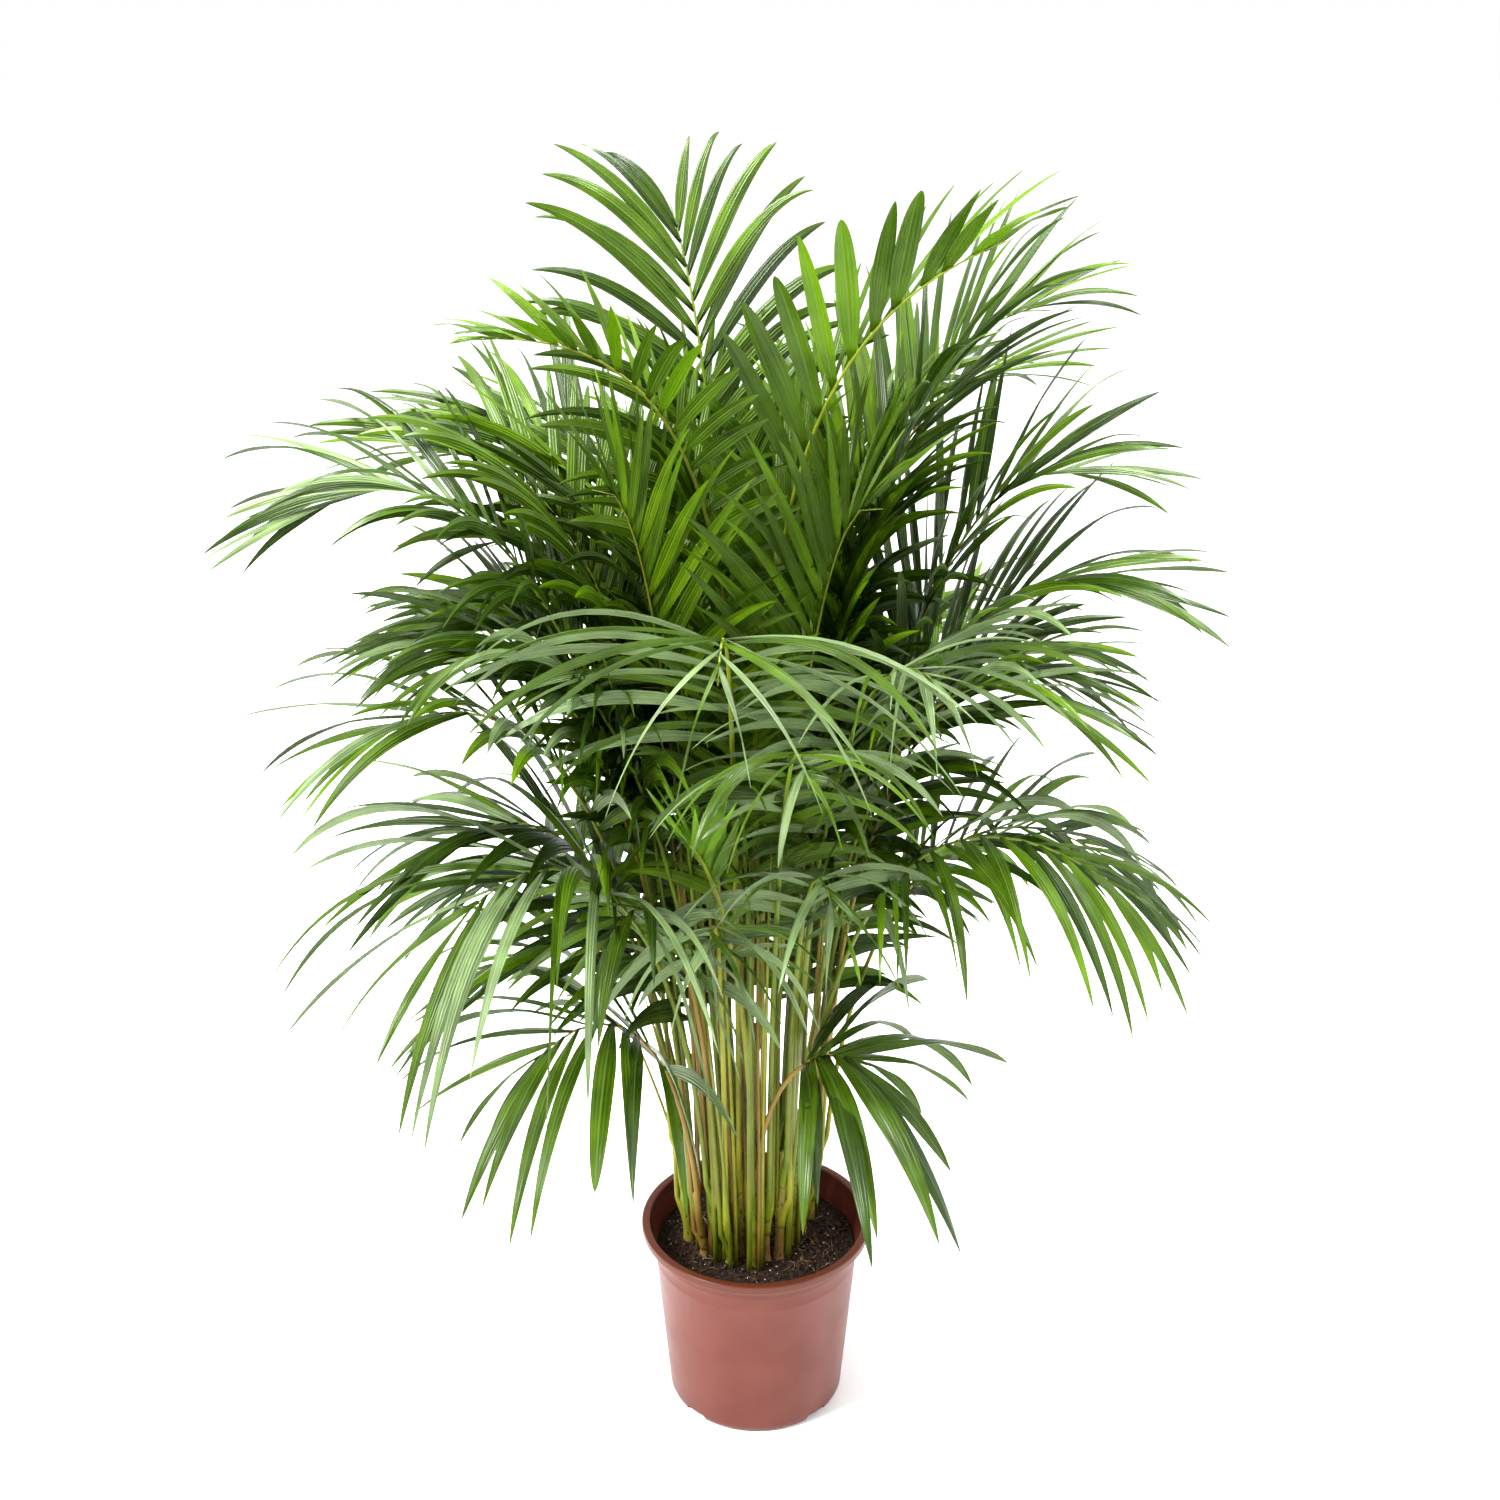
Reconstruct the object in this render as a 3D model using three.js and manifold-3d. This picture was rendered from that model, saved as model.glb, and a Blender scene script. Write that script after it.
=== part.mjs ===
// Potted areca palm: a clump of canes in a nursery pot, under a crown of arching feather fronds.
// Millimetres, +Z up. The palm's front faces -Y, and its left is -X.
// The origin is the centre of the pot's flat underside.

import * as THREE from 'three';
import Module from 'manifold-3d';
import { mergeVertices } from 'three/addons/utils/BufferGeometryUtils.js';

const wasm = await Module();
wasm.setup();

// Driving dimensions of the pot and the soil
const GAP = 0.3;
const POT_HEIGHT = 185;
const RIM_RADIUS = 105;
const BASE_RADIUS = 78;
const WALL = 2;
const FLOOR = 3;
const LIP_DEPTH = 8;
const LIP_REACH = 9;
const LIP_LEDGE = 6;
const LIP_CUP = 2;
const EDGE_ROUND = 1.5;
const SHOULDER_DEPTH = 9;
const SHOULDER_STEP = 3;
const SHOULDER_REACH = 2;
const BASE_ROUND = 6;
const BASE_SPREAD = 2.4;
const POT_SIDES = 40;
const DRAIN_COUNT = 4;
const DRAIN_WIDTH = 24;
const DRAIN_HEIGHT = 7;
const DRAIN_DEPTH = 9;
const SOIL_TOP = 160;

// Canes: foot x, foot y, radius, height over the soil, lean in x, lean in y
const CANES = [
  [-61, 3, 4.9, 120, -10, 0],
  [-47, -20, 3.7, 70, -8, -4],
  [-34, -26, 3.6, 90, -6, -5],
  [-23, -34, 3.7, 60, -4, -6],
  [-13, -22, 4.1, 110, -2, -4],
  [-2, -36, 4.1, 150, 0, -4],
  [9, -26, 3.7, 80, 2, -5],
  [21, -24, 4.7, 120, 5, -5],
  [31, -3, 4.4, 130, 8, -2],
  [42, 17, 4.1, 110, 10, 3],
  [50, 38, 4.3, 90, 10, 6],
  [-36, 14, 4.4, 140, -8, 4],
  [-4, 4, 6.2, 230, 1, 2],
  [-14, 36, 4.2, 150, -4, 8],
  [17, 42, 4.1, 140, 4, 8],
];
const CANE_SIDES = 7;
const CANE_LEVELS = [0, 0.06, 0.2, 0.6, 1];
const CANE_TAPER = 0.25;
const FLARE = 0.2;
const FLARE_FADE = 12;
const SHEATH_TOP = 0.94;
const SHEATH_STEP = 0.19;

// Ribs: how thick they are, how they rise, and what they may try to stay clear of each other
const PETIOLE_RADIUS = 3;
const RIB_TIP_RADIUS = 1.5;
const STALK_STATIONS = 6;
const RISE = 0.55;
const LEAN = 0.06;
const SWAY_LOW = 0.5;
const RIB_ROOM = 0.8;
const SEAT_SLACK = 0.15;
const TURNS = [0, 35, -35, 70, -70, 105, -105].map(THREE.MathUtils.degToRad);
const SWAYS = [0, 10, -10, 20, -20, 32, -32, 45, -45, 60, -60];
const CORNERS = { ridge: Math.PI / 2, left: (Math.PI * 7) / 6, right: (Math.PI * 11) / 6 };

// Leaflets: how they stand on the rib, how they narrow and droop, and what they may try for room
const PAIRS = 8;
const LAST_PAIR = 0.975;
const LEAFLET_WIDTH = 21;
const ROOT_WIDTH = 7;
const THICKNESS_SHARE = 1 / 90;
const LEAST_THICKNESS = 2;
const BROADEST = 0.42;
const TIP_ANGLE = 18;
const ANGLE_FADE = 2.5;
const ANGLE_SCATTER = 8;
const VEE_LOSS = 0.4;
const VEE_SCATTER = 14;
const TIP_LOSS = 0.5;
const TIP_FADE = 7;
const ROOT_LOSS = 0.25;
const ROOT_FADE = 4;
const LENGTH_SCATTER = 0.16;
const DROOP_POWER = 1.6;
const WAY_STEPS = 12;
const SPARE = 0.25;
const SHORTENINGS = [1, 0.8, 0.62];
const SHIFTS = [[0, 0], [12, 0], [-12, 0], [0, 9], [0, -9], [24, 0], [-24, 0]];

// Fronds that show from the front: name, cane, tip x, y and z, crest height, how far out the crest
// lies, bare share of the rib, longest leaflet, how far in degrees the first leaflets stand off the
// rib and how far they rise over it, and their droop
const FRONDS = [
  ['crown', 13, -70, 130, 1090, 965, 0, 0.61, 190, 50, 0, 0.7],
  ['front_high', 12, 175, -150, 1130, 1000, -0.15, 0.5, 150, 36, 60, 0.3],
  ['left_high', 12, -212, -100, 1044, 1032, -0.12, 0.55, 96, 64, 58, 0.4],
  ['left_upper', 1, -345, -40, 890, 985, 0.42, 0.48, 215, 55, 14, 0.6],
  ['left_upper_near', 11, -270, 100, 885, 935, 0.4, 0.5, 200, 50, 24, 0.6],
  ['left_upper_far', 13, -250, 200, 880, 940, 0.4, 0.5, 195, 50, 26, 0.5],
  ['left_middle', 0, -305, -60, 705, 775, 0.4, 0.54, 225, 55, 16, 0.7],
  ['left_middle_far', 11, -265, 60, 735, 840, 0.4, 0.52, 190, 50, 20, 0.6],
  ['left_droop', 2, -235, -150, 585, 680, 0.45, 0.56, 300, 62, 0, 1.2],
  ['left_lower', 0, -260, -20, 580, 660, 0.42, 0.54, 205, 55, 12, 0.7],
  ['left_foot', 1, -190, -100, 415, 492, 0.4, 0.5, 225, 65, 4, 1.1],
  ['left_foot_far', 11, -250, 40, 410, 530, 0.45, 0.5, 185, 60, 14, 0.6],
  ['front_arch', 4, -28, -300, 855, 930, 0.5, 0.66, 230, 78, 2, 1.3],
  ['front_middle', 6, 38, -240, 745, 800, 0.45, 0.72, 150, 75, 4, 1.8],
  ['front_low', 3, -38, -190, 570, 622, 0.45, 0.72, 130, 75, 0, 2],
  ['low_left', 2, -125, -135, 545, 635, 0.45, 0.58, 160, 60, 8, 1.2],
  ['low_right', 7, 62, -150, 585, 660, 0.45, 0.6, 150, 65, 8, 1.3],
  ['front_shoot', 5, -52, -160, 655, 610, 0.6, 0.8, 95, 36, 60, 0],
  ['right_foot', 5, 88, -64, 394, 422, 0.5, 0.72, 215, 70, -6, 1.2],
  ['right_lower', 8, 290, -120, 596, 690, 0.38, 0.5, 205, 55, -6, 1.5],
  ['right_lower_far', 10, 313, 60, 525, 640, 0.4, 0.52, 190, 55, 12, 0.8],
  ['right_near', 7, 140, -190, 800, 850, 0.42, 0.58, 190, 62, 8, 0.8],
  ['right_middle', 8, 240, -60, 730, 800, 0.4, 0.52, 200, 52, 16, 0.7],
  ['right_middle_far', 9, 250, 60, 700, 760, 0.4, 0.52, 190, 52, 18, 0.7],
  ['right_broad', 9, 300, 20, 796, 860, 0.42, 0.52, 200, 50, 20, 0.6],
  ['right_upper', 10, 275, 60, 880, 940, 0.42, 0.52, 200, 46, 28, 0.5],
  ['right_upper_far', 14, 210, 180, 927, 980, 0.4, 0.52, 190, 46, 32, 0.5],
  ['right_high', 14, 236, 80, 1016, 1040, 0.4, 0.52, 195, 46, 34, 0.5],
];

// Rings of fronds in the crown's heart and on its far side: name, count, first and last azimuth,
// reach, tip height, crest height, longest leaflet, stand and rise of the leaflets, droop
const RINGS = [
  ['heart', 4, 325, 560, 135, 880, 910, 190, 42, 50, 0.4],
  ['back_high', 3, 62, 122, 285, 870, 930, 200, 50, 24, 0.6],
  ['back_middle', 4, 38, 142, 335, 655, 775, 200, 55, 20, 0.7],
  ['back_low', 3, 64, 150, 290, 425, 530, 190, 60, 12, 0.9],
];
const RING_BARE = 0.45;
const RING_LEAD = 0.4;
const REACH_SCATTER = 0.24;
const HEIGHT_SCATTER = 90;
const HOME_RADIUS = 42;
const CROWDING = 16;

const COLOURS = { pot: 0xc47a6c, soil: 0x2a1d16, cane: 0xa8a04a, frond: 0x4c8a2a, frondDark: 0x2f6a26 };

// A number from 0 to 1 that looks random but is the same in every run
function noise(i, k) {
  const s = Math.sin(i * 12.9898 + k * 78.233) * 43758.5453;
  return s - Math.floor(s);
}

function paint(color, roughness) {
  return new THREE.MeshStandardMaterial({ color, roughness, metalness: 0 });
}

// Closed skin over rings of points that run anticlockwise round the way from one to the next
function skin(rings, apex) {
  const count = rings[0].length;
  const points = rings.flat();
  const faces = [];
  for (let i = 1; i < count - 1; i += 1) {
    faces.push(0, i + 1, i);
  }
  for (let r = 0; r < rings.length - 1; r += 1) {
    for (let i = 0; i < count; i += 1) {
      const a = r * count + i;
      const b = r * count + ((i + 1) % count);
      faces.push(a, b, b + count, a, b + count, a + count);
    }
  }
  const last = (rings.length - 1) * count;
  if (apex) {
    points.push(apex);
    for (let i = 0; i < count; i += 1) {
      faces.push(last + i, last + ((i + 1) % count), points.length - 1);
    }
  } else {
    for (let i = 1; i < count - 1; i += 1) {
      faces.push(last, last + i, last + i + 1);
    }
  }
  const geometry = new THREE.BufferGeometry().setFromPoints(points);
  geometry.setIndex(faces);
  return geometry;
}

function toSolid(geometry) {
  const bare = geometry.clone();
  bare.deleteAttribute('normal');
  bare.deleteAttribute('uv');
  const merged = mergeVertices(bare, 1e-3);
  return new wasm.Manifold(new wasm.Mesh({
    numProp: 3,
    vertProperties: new Float32Array(merged.attributes.position.array),
    triVerts: new Uint32Array(merged.index.array),
  }));
}

function toGeometry(solid) {
  const mesh = solid.getMesh();
  const geometry = new THREE.BufferGeometry();
  geometry.setAttribute('position', new THREE.BufferAttribute(new Float32Array(mesh.vertProperties), 3));
  geometry.setIndex([...mesh.triVerts]);
  geometry.computeVertexNormals();
  return geometry;
}

// Pot: a tapering wall with a rounded foot, a shoulder and a flat lip, and drain notches at the foot
const NECK = RIM_RADIUS - LIP_REACH;
const SHOULDER = POT_HEIGHT - LIP_DEPTH;
const WALL_LOW = { r: BASE_RADIUS + BASE_SPREAD, z: BASE_ROUND };
const WALL_HIGH = { r: NECK - SHOULDER_REACH, z: SHOULDER - SHOULDER_DEPTH };

function potProfile() {
  const outer = [
    [0, 0],
    [BASE_RADIUS - BASE_ROUND / 2, 0],
    [BASE_RADIUS, BASE_ROUND / 4],
    [WALL_LOW.r, WALL_LOW.z],
    [WALL_HIGH.r, WALL_HIGH.z],
    [NECK + SHOULDER_REACH, SHOULDER - SHOULDER_STEP],
    [RIM_RADIUS - EDGE_ROUND, SHOULDER],
    [RIM_RADIUS, SHOULDER + EDGE_ROUND],
    [RIM_RADIUS, POT_HEIGHT - EDGE_ROUND],
    [RIM_RADIUS - EDGE_ROUND, POT_HEIGHT],
  ];
  const inner = [
    [RIM_RADIUS - LIP_LEDGE, POT_HEIGHT],
    [NECK + 1, POT_HEIGHT - LIP_CUP],
    [WALL_HIGH.r - WALL, WALL_HIGH.z],
    [WALL_LOW.r - WALL, WALL_LOW.z],
    [BASE_RADIUS - BASE_ROUND, FLOOR],
    [0, FLOOR],
  ];
  return [...outer, ...inner];
}

function innerRadius(z) {
  const share = (z - WALL_LOW.z) / (WALL_HIGH.z - WALL_LOW.z);
  return THREE.MathUtils.lerp(WALL_LOW.r, WALL_HIGH.r, share) - WALL;
}

function lathe(profile, sides) {
  const points = profile.map(([r, z]) => new THREE.Vector2(r, z));
  return new THREE.LatheGeometry(points, sides).rotateX(Math.PI / 2);
}

function makePot() {
  let pot = toSolid(lathe(potProfile(), POT_SIDES));
  for (let i = 0; i < DRAIN_COUNT; i += 1) {
    const cutter = new THREE.BoxGeometry(2 * DRAIN_DEPTH, DRAIN_WIDTH, 2 * DRAIN_HEIGHT);
    cutter.translate(WALL_LOW.r, 0, 0);
    cutter.rotateZ(((i + 0.5) * 2 * Math.PI) / DRAIN_COUNT);
    pot = pot.subtract(toSolid(cutter));
  }
  return toGeometry(pot);
}

// Soil: what fills the pot, clear of its wall and floor
function makeSoil() {
  const floor = WALL_LOW.z + GAP;
  const profile = [
    [0, floor],
    [innerRadius(floor) - 2 * GAP, floor],
    [innerRadius(SOIL_TOP) - GAP, SOIL_TOP],
    [0, SOIL_TOP],
  ];
  return toGeometry(toSolid(lathe(profile, POT_SIDES)));
}

// Canes: short stems that taper up from a flared foot, cut flat on the soil
function caneAxis(cane, share) {
  const [x, y, , height, leanX, leanY] = CANES[cane];
  const z = SOIL_TOP + GAP + share * height;
  return new THREE.Vector3(x + leanX * share, y + leanY * share, z);
}

function caneRadius(cane, share) {
  return CANES[cane][2] * (1 - CANE_TAPER * share + FLARE * (1 - share) ** FLARE_FADE);
}

function makeCane(cane) {
  const rings = CANE_LEVELS.map((share) => {
    const centre = caneAxis(cane, share);
    const radius = caneRadius(cane, share);
    return Array.from({ length: CANE_SIDES }, (_, i) => {
      const turn = (i * 2 * Math.PI) / CANE_SIDES;
      return new THREE.Vector3(radius * Math.cos(turn), radius * Math.sin(turn), 0).add(centre);
    });
  });
  return skin(rings);
}

// The plan of every frond: the named ones, then the rings, each on the nearest cane with room
function planFronds() {
  const plans = FRONDS.map(([name, cane, x, y, z, crest, lead, bare, leaflet, stand, vee, droop]) => {
    return { name, cane, tip: new THREE.Vector3(x, y, z), crest, lead, bare, leaflet, stand, vee, droop };
  });
  const load = CANES.map((_, i) => plans.filter((plan) => plan.cane === i).length);
  RINGS.forEach(([name, count, first, last, reach, height, crest, leaflet, stand, vee, droop], ring) => {
    for (let i = 0; i < count; i += 1) {
      const turn = THREE.MathUtils.degToRad(first + ((last - first) * i) / (count - 1));
      const out = reach * (1 + REACH_SCATTER * (noise(i, ring) - 0.5));
      const lift = HEIGHT_SCATTER * (noise(i, ring + 10) - 0.5);
      const tip = new THREE.Vector3(out * Math.cos(turn), out * Math.sin(turn), height + lift);
      const home = [HOME_RADIUS * Math.cos(turn), HOME_RADIUS * Math.sin(turn)];
      const far = CANES.map(([x, y], k) => Math.hypot(x - home[0], y - home[1]) + CROWDING * load[k]);
      const cane = far.indexOf(Math.min(...far));
      load[cane] += 1;
      const plan = { name: `${name}_${i + 1}`, cane, tip, crest: crest + lift, lead: RING_LEAD };
      plans.push({ ...plan, bare: RING_BARE, leaflet, stand, vee, droop });
    }
  });
  return plans;
}

// How far a cane's flat-sided flank lies from its axis in a direction
function flankReach(cane, share, direction) {
  const half = Math.PI / CANE_SIDES;
  const off = Math.abs(direction - 2 * half * Math.round(direction / (2 * half)));
  return (caneRadius(cane, share) * Math.cos(half)) / Math.cos(half - off);
}

// A rib rises beside its cane, leans out to its crest and bends down to its tip
function ribCurve(plan, share, turn, sway) {
  const axis = caneAxis(plan.cane, share);
  const heading = Math.atan2(plan.tip.y - axis.y, plan.tip.x - axis.x) + turn;
  const seat = flankReach(plan.cane, share, heading) + PETIOLE_RADIUS + GAP;
  const foot = axis.clone().add(new THREE.Vector3(seat * Math.cos(heading), seat * Math.sin(heading), 0));
  const run = new THREE.Vector3(plan.tip.x - foot.x, plan.tip.y - foot.y, 0);
  const aside = new THREE.Vector3(-run.y, run.x, 0).normalize().multiplyScalar(sway);
  const first = foot.clone().addScaledVector(run, LEAN).addScaledVector(aside, SWAY_LOW);
  first.z = foot.z + RISE * (plan.crest - foot.z);
  const second = foot.clone().addScaledVector(run, plan.lead).add(aside);
  second.z = plan.crest;
  return new THREE.CubicBezierCurve3(foot, first, second, plan.tip);
}

function ribRadius(s) {
  return PETIOLE_RADIUS + (RIB_TIP_RADIUS - PETIOLE_RADIUS) * s;
}

function pairShare(plan, pair) {
  return plan.bare + (LAST_PAIR - plan.bare) * (pair / (PAIRS - 1));
}

// The shares of a rib's length where its straight stretches meet
function ribShares(plan) {
  const stalk = Array.from({ length: STALK_STATIONS }, (_, i) => (plan.bare * i) / STALK_STATIONS);
  return [...stalk, ...Array.from({ length: PAIRS }, (_, pair) => pairShare(plan, pair)), 1];
}

function caneLine(cane) {
  return CANE_LEVELS.map((share) => ({ point: caneAxis(cane, share), radius: caneRadius(cane, share) }));
}

// Room between two straight round stretches, each given by the point and radius at its ends
function stretchRoom([p, q], [r, s]) {
  const one = q.point.clone().sub(p.point);
  const two = s.point.clone().sub(r.point);
  const between = p.point.clone().sub(r.point);
  const [a, b, e] = [one.dot(one), one.dot(two), two.dot(two)];
  const [c, f] = [one.dot(between), two.dot(between)];
  const clamp = (value) => Math.min(1, Math.max(0, value));
  let t = clamp((b * f - c * e) / Math.max(a * e - b * b, 1e-9));
  const u = clamp((b * t + f) / e);
  t = clamp((b * u - c) / a);
  const gap = between.addScaledVector(one, t).addScaledVector(two, -u).length();
  return gap - THREE.MathUtils.lerp(p.radius, q.radius, t) - THREE.MathUtils.lerp(r.radius, s.radius, u);
}

function lineRoom(a, b) {
  let least = Infinity;
  for (let i = 1; i < a.length; i += 1) {
    for (let k = 1; k < b.length; k += 1) {
      least = Math.min(least, stretchRoom([a[i - 1], a[i]], [b[k - 1], b[k]]));
    }
  }
  return least;
}

// Each rib takes the first way up that is clear of the canes and of the ribs before it
function growRibs(plans) {
  const canes = CANES.map((_, i) => caneLine(i));
  const placed = [];
  const used = CANES.map(() => 0);
  for (const plan of plans) {
    const share = SHEATH_TOP - SHEATH_STEP * used[plan.cane];
    used[plan.cane] += 1;
    const others = canes.filter((_, i) => i !== plan.cane).concat(placed);
    let best = { room: -Infinity };
    for (const sway of SWAYS) {
      for (const turn of TURNS) {
        if (best.room < RIB_ROOM) {
          const curve = ribCurve(plan, share, turn, sway);
          const line = ribShares(plan).map((s) => ({ point: curve.getPointAt(s), radius: ribRadius(s) }));
          const seat = curve.v0.distanceTo(caneAxis(plan.cane, share)) - caneRadius(plan.cane, share);
          const own = lineRoom(line, canes[plan.cane]) - seat + PETIOLE_RADIUS + RIB_ROOM + SEAT_SLACK;
          const room = Math.min(own, ...others.map((other) => lineRoom(line, other)));
          best = room > best.room ? { room, curve, line } : best;
        }
      }
    }
    placed.push(best.line);
    plan.curve = best.curve;
    const foot = best.curve.v0;
    const heading = Math.atan2(plan.tip.y - foot.y, plan.tip.x - foot.x);
    plan.across = new THREE.Vector3(-Math.sin(heading), Math.cos(heading), 0);
    plan.twist = seatTwist(foot.clone().sub(caneAxis(plan.cane, share)), heading);
  }
}

// The turn of a rib's foot, less than a sixth of a circle, that points one of its edges at the cane
function seatTwist(seat, heading) {
  const step = (2 * Math.PI) / 3;
  const turn = Math.atan2(seat.y, seat.x) - heading;
  return turn - step * Math.round(turn / step);
}

// The rib's own directions at a share of its length: ahead, across and up
function ribFrame(plan, s) {
  const ahead = plan.curve.getTangentAt(s);
  const up = new THREE.Vector3().crossVectors(ahead, plan.across).normalize();
  return { at: plan.curve.getPointAt(s), ahead, across: plan.across, up };
}

// A corner of the rib's section at a share of its length: its ridge, its left or its right edge
function ribCorner(plan, s, corner) {
  const { at, across, up } = ribFrame(plan, s);
  const turn = CORNERS[corner] + (s === 0 ? plan.twist : 0);
  at.addScaledVector(across, ribRadius(s) * Math.cos(turn));
  return at.addScaledVector(up, ribRadius(s) * Math.sin(turn));
}

// A leaflet's root is a triangle on the rib's flank, anticlockwise as seen from outside
function leafletRoot(plan, pair, side) {
  const s = pairShare(plan, pair);
  const half = ROOT_WIDTH / 2 / plan.curve.getLength();
  const edge = side > 0 ? 'right' : 'left';
  const back = ribCorner(plan, s - half, edge);
  const front = ribCorner(plan, s + half, edge);
  const ridge = ribCorner(plan, s, 'ridge');
  return side > 0 ? [back, ridge, front] : [front, ridge, back];
}

// A leaflet's way from the rib: out and ahead, raised in a vee, then bent down by its droop
function leafletWay(plan, index, pair, side, change) {
  const q = pair / (PAIRS - 1);
  const { at, ahead, across, up } = ribFrame(plan, pairShare(plan, pair));
  const salt = 4 * pair + side;
  const angle = THREE.MathUtils.lerp(plan.stand, TIP_ANGLE, q ** ANGLE_FADE);
  const swing = ANGLE_SCATTER * (noise(index, salt) - 0.5) + change.swing;
  const lift = VEE_SCATTER * (noise(index, salt + 50) - 0.5) + change.lift;
  const out = THREE.MathUtils.degToRad(angle + swing);
  const rise = THREE.MathUtils.degToRad(plan.vee * (1 - VEE_LOSS * q) + lift);
  const start = ahead.clone().multiplyScalar(Math.cos(out))
    .addScaledVector(across, side * Math.sin(out) * Math.cos(rise))
    .addScaledVector(up, Math.sin(out) * Math.sin(rise));
  const fade = (1 - TIP_LOSS * q ** TIP_FADE) * (1 - ROOT_LOSS * (1 - q) ** ROOT_FADE);
  const scatter = 1 + LENGTH_SCATTER * (noise(index, salt + 90) - 0.5);
  const length = plan.leaflet * fade * scatter * change.length;
  return { at, ahead, side, start, length, droop: plan.droop, root: leafletRoot(plan, pair, side) };
}

// Point and direction at a share of a leaflet's length
function along(way, share) {
  const point = way.at.clone();
  const heading = new THREE.Vector3();
  const steps = Math.max(1, Math.round(share * WAY_STEPS));
  for (let i = 0; i < steps; i += 1) {
    const t = (share * (i + 0.5)) / steps;
    heading.copy(way.start);
    heading.z -= way.droop * t ** DROOP_POWER;
    heading.normalize();
    point.addScaledVector(heading, (way.length * share) / steps);
  }
  return { point, heading };
}

// A leaflet is a long blade with a ridge on top, broadest before its middle, that ends in a point
function leafletBlade(way, spare) {
  const { point, heading } = along(way, BROADEST);
  const broad = way.ahead.clone().addScaledVector(heading, -way.ahead.dot(heading)).normalize();
  const face = new THREE.Vector3().crossVectors(broad, heading).multiplyScalar(way.side);
  const half = LEAFLET_WIDTH / 2 + 2 * spare;
  const back = point.clone().addScaledVector(broad, -half).addScaledVector(face, -spare);
  const front = point.clone().addScaledVector(broad, half).addScaledVector(face, -spare);
  const thickness = Math.max(LEAST_THICKNESS, way.length * THICKNESS_SHARE);
  const ridge = point.clone().addScaledVector(face, thickness + spare);
  return { ring: way.side > 0 ? [back, ridge, front] : [front, ridge, back], apex: along(way, 1).point };
}

// A frond is one closed skin: its three-sided rib, and on its flanks the leaflets that found room
function makeFrond(plan, ways) {
  const points = [];
  const faces = [];
  const put = (point) => points.push(point) - 1;
  const corners = (s, ridgeShare) => ({
    ridge: put(ribCorner(plan, ridgeShare, 'ridge')),
    left: put(ribCorner(plan, s, 'left')),
    right: put(ribCorner(plan, s, 'right')),
  });
  const quad = (a, b, c, d) => faces.push(a, b, c, a, c, d);
  const join = (a, b) => {
    quad(a.ridge, a.left, b.left, b.ridge);
    quad(a.left, a.right, b.right, b.left);
    quad(a.right, a.ridge, b.ridge, b.right);
  };
  const half = ROOT_WIDTH / 2 / plan.curve.getLength();
  let last = corners(0, 0);
  faces.push(last.ridge, last.right, last.left);
  for (let i = 1; i <= STALK_STATIONS; i += 1) {
    const s = ((plan.bare - 2 * half) * i) / STALK_STATIONS;
    const next = corners(s, s);
    join(last, next);
    last = next;
  }
  for (let pair = 0; pair < PAIRS; pair += 1) {
    const s = pairShare(plan, pair);
    const start = corners(s - half, s);
    join(last, start);
    const end = { ridge: start.ridge, left: put(ribCorner(plan, s + half, 'left')) };
    end.right = put(ribCorner(plan, s + half, 'right'));
    quad(start.left, start.right, end.right, end.left);
    for (const side of [-1, 1]) {
      const root = side > 0 ? [start.right, start.ridge, end.right] : [end.left, start.ridge, start.left];
      const way = ways.find((one) => one.pair === pair && one.side === side);
      if (way) {
        const { ring, apex } = leafletBlade(way, 0);
        const blade = ring.map(put);
        const tip = put(apex);
        for (let i = 0; i < 3; i += 1) {
          const k = (i + 1) % 3;
          quad(root[i], root[k], blade[k], blade[i]);
          faces.push(blade[i], blade[k], tip);
        }
      } else {
        faces.push(...root);
      }
    }
    last = end;
  }
  const tip = put(ribFrame(plan, 1).at);
  faces.push(last.ridge, last.left, tip, last.left, last.right, tip, last.right, last.ridge, tip);
  const geometry = new THREE.BufferGeometry().setFromPoints(points);
  geometry.setIndex(faces);
  return geometry;
}

// The ways out that a leaflet tries in turn: as grown, raised, lowered or swung, then shorter
const CHANGES = SHORTENINGS.flatMap((length) => SHIFTS.map(([lift, swing]) => ({ length, lift, swing })));

function boxed(geometry, owner) {
  geometry.computeBoundingBox();
  return { box: geometry.boundingBox.clone().expandByScalar(SPARE), solid: toSolid(geometry), owner };
}

function leafletPiece(way, spare, owner) {
  const { ring, apex } = leafletBlade(way, spare);
  return boxed(skin([way.root, ring], apex), owner);
}

// Each leaflet takes the first way out that is clear of all that stands there already
function growLeaflets(plans, obstacles) {
  const ways = plans.map(() => []);
  for (let pair = PAIRS - 1; pair >= 0; pair -= 1) {
    plans.forEach((plan, index) => {
      for (const side of [-1, 1]) {
        for (const change of CHANGES) {
          const way = { ...leafletWay(plan, index, pair, side, change), pair };
          const trial = leafletPiece(way, SPARE, index);
          const clash = obstacles.some((other) => {
            return other.owner !== index && other.box.intersectsBox(trial.box)
              && !trial.solid.intersect(other.solid).isEmpty();
          });
          trial.solid.delete();
          if (!clash) {
            obstacles.push(leafletPiece(way, 0, `${index} ${pair} ${side}`));
            ways[index].push(way);
            break;
          }
        }
      }
    });
  }
  return ways;
}

const group = new THREE.Group();
group.name = 'potted_areca_palm';

function add(name, geometry, material) {
  const mesh = new THREE.Mesh(geometry, material);
  mesh.name = name;
  group.add(mesh);
}

const pot = makePot();
const soil = makeSoil();
add('pot', pot, paint(COLOURS.pot, 0.45));
add('soil', soil, paint(COLOURS.soil, 0.95));

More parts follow.
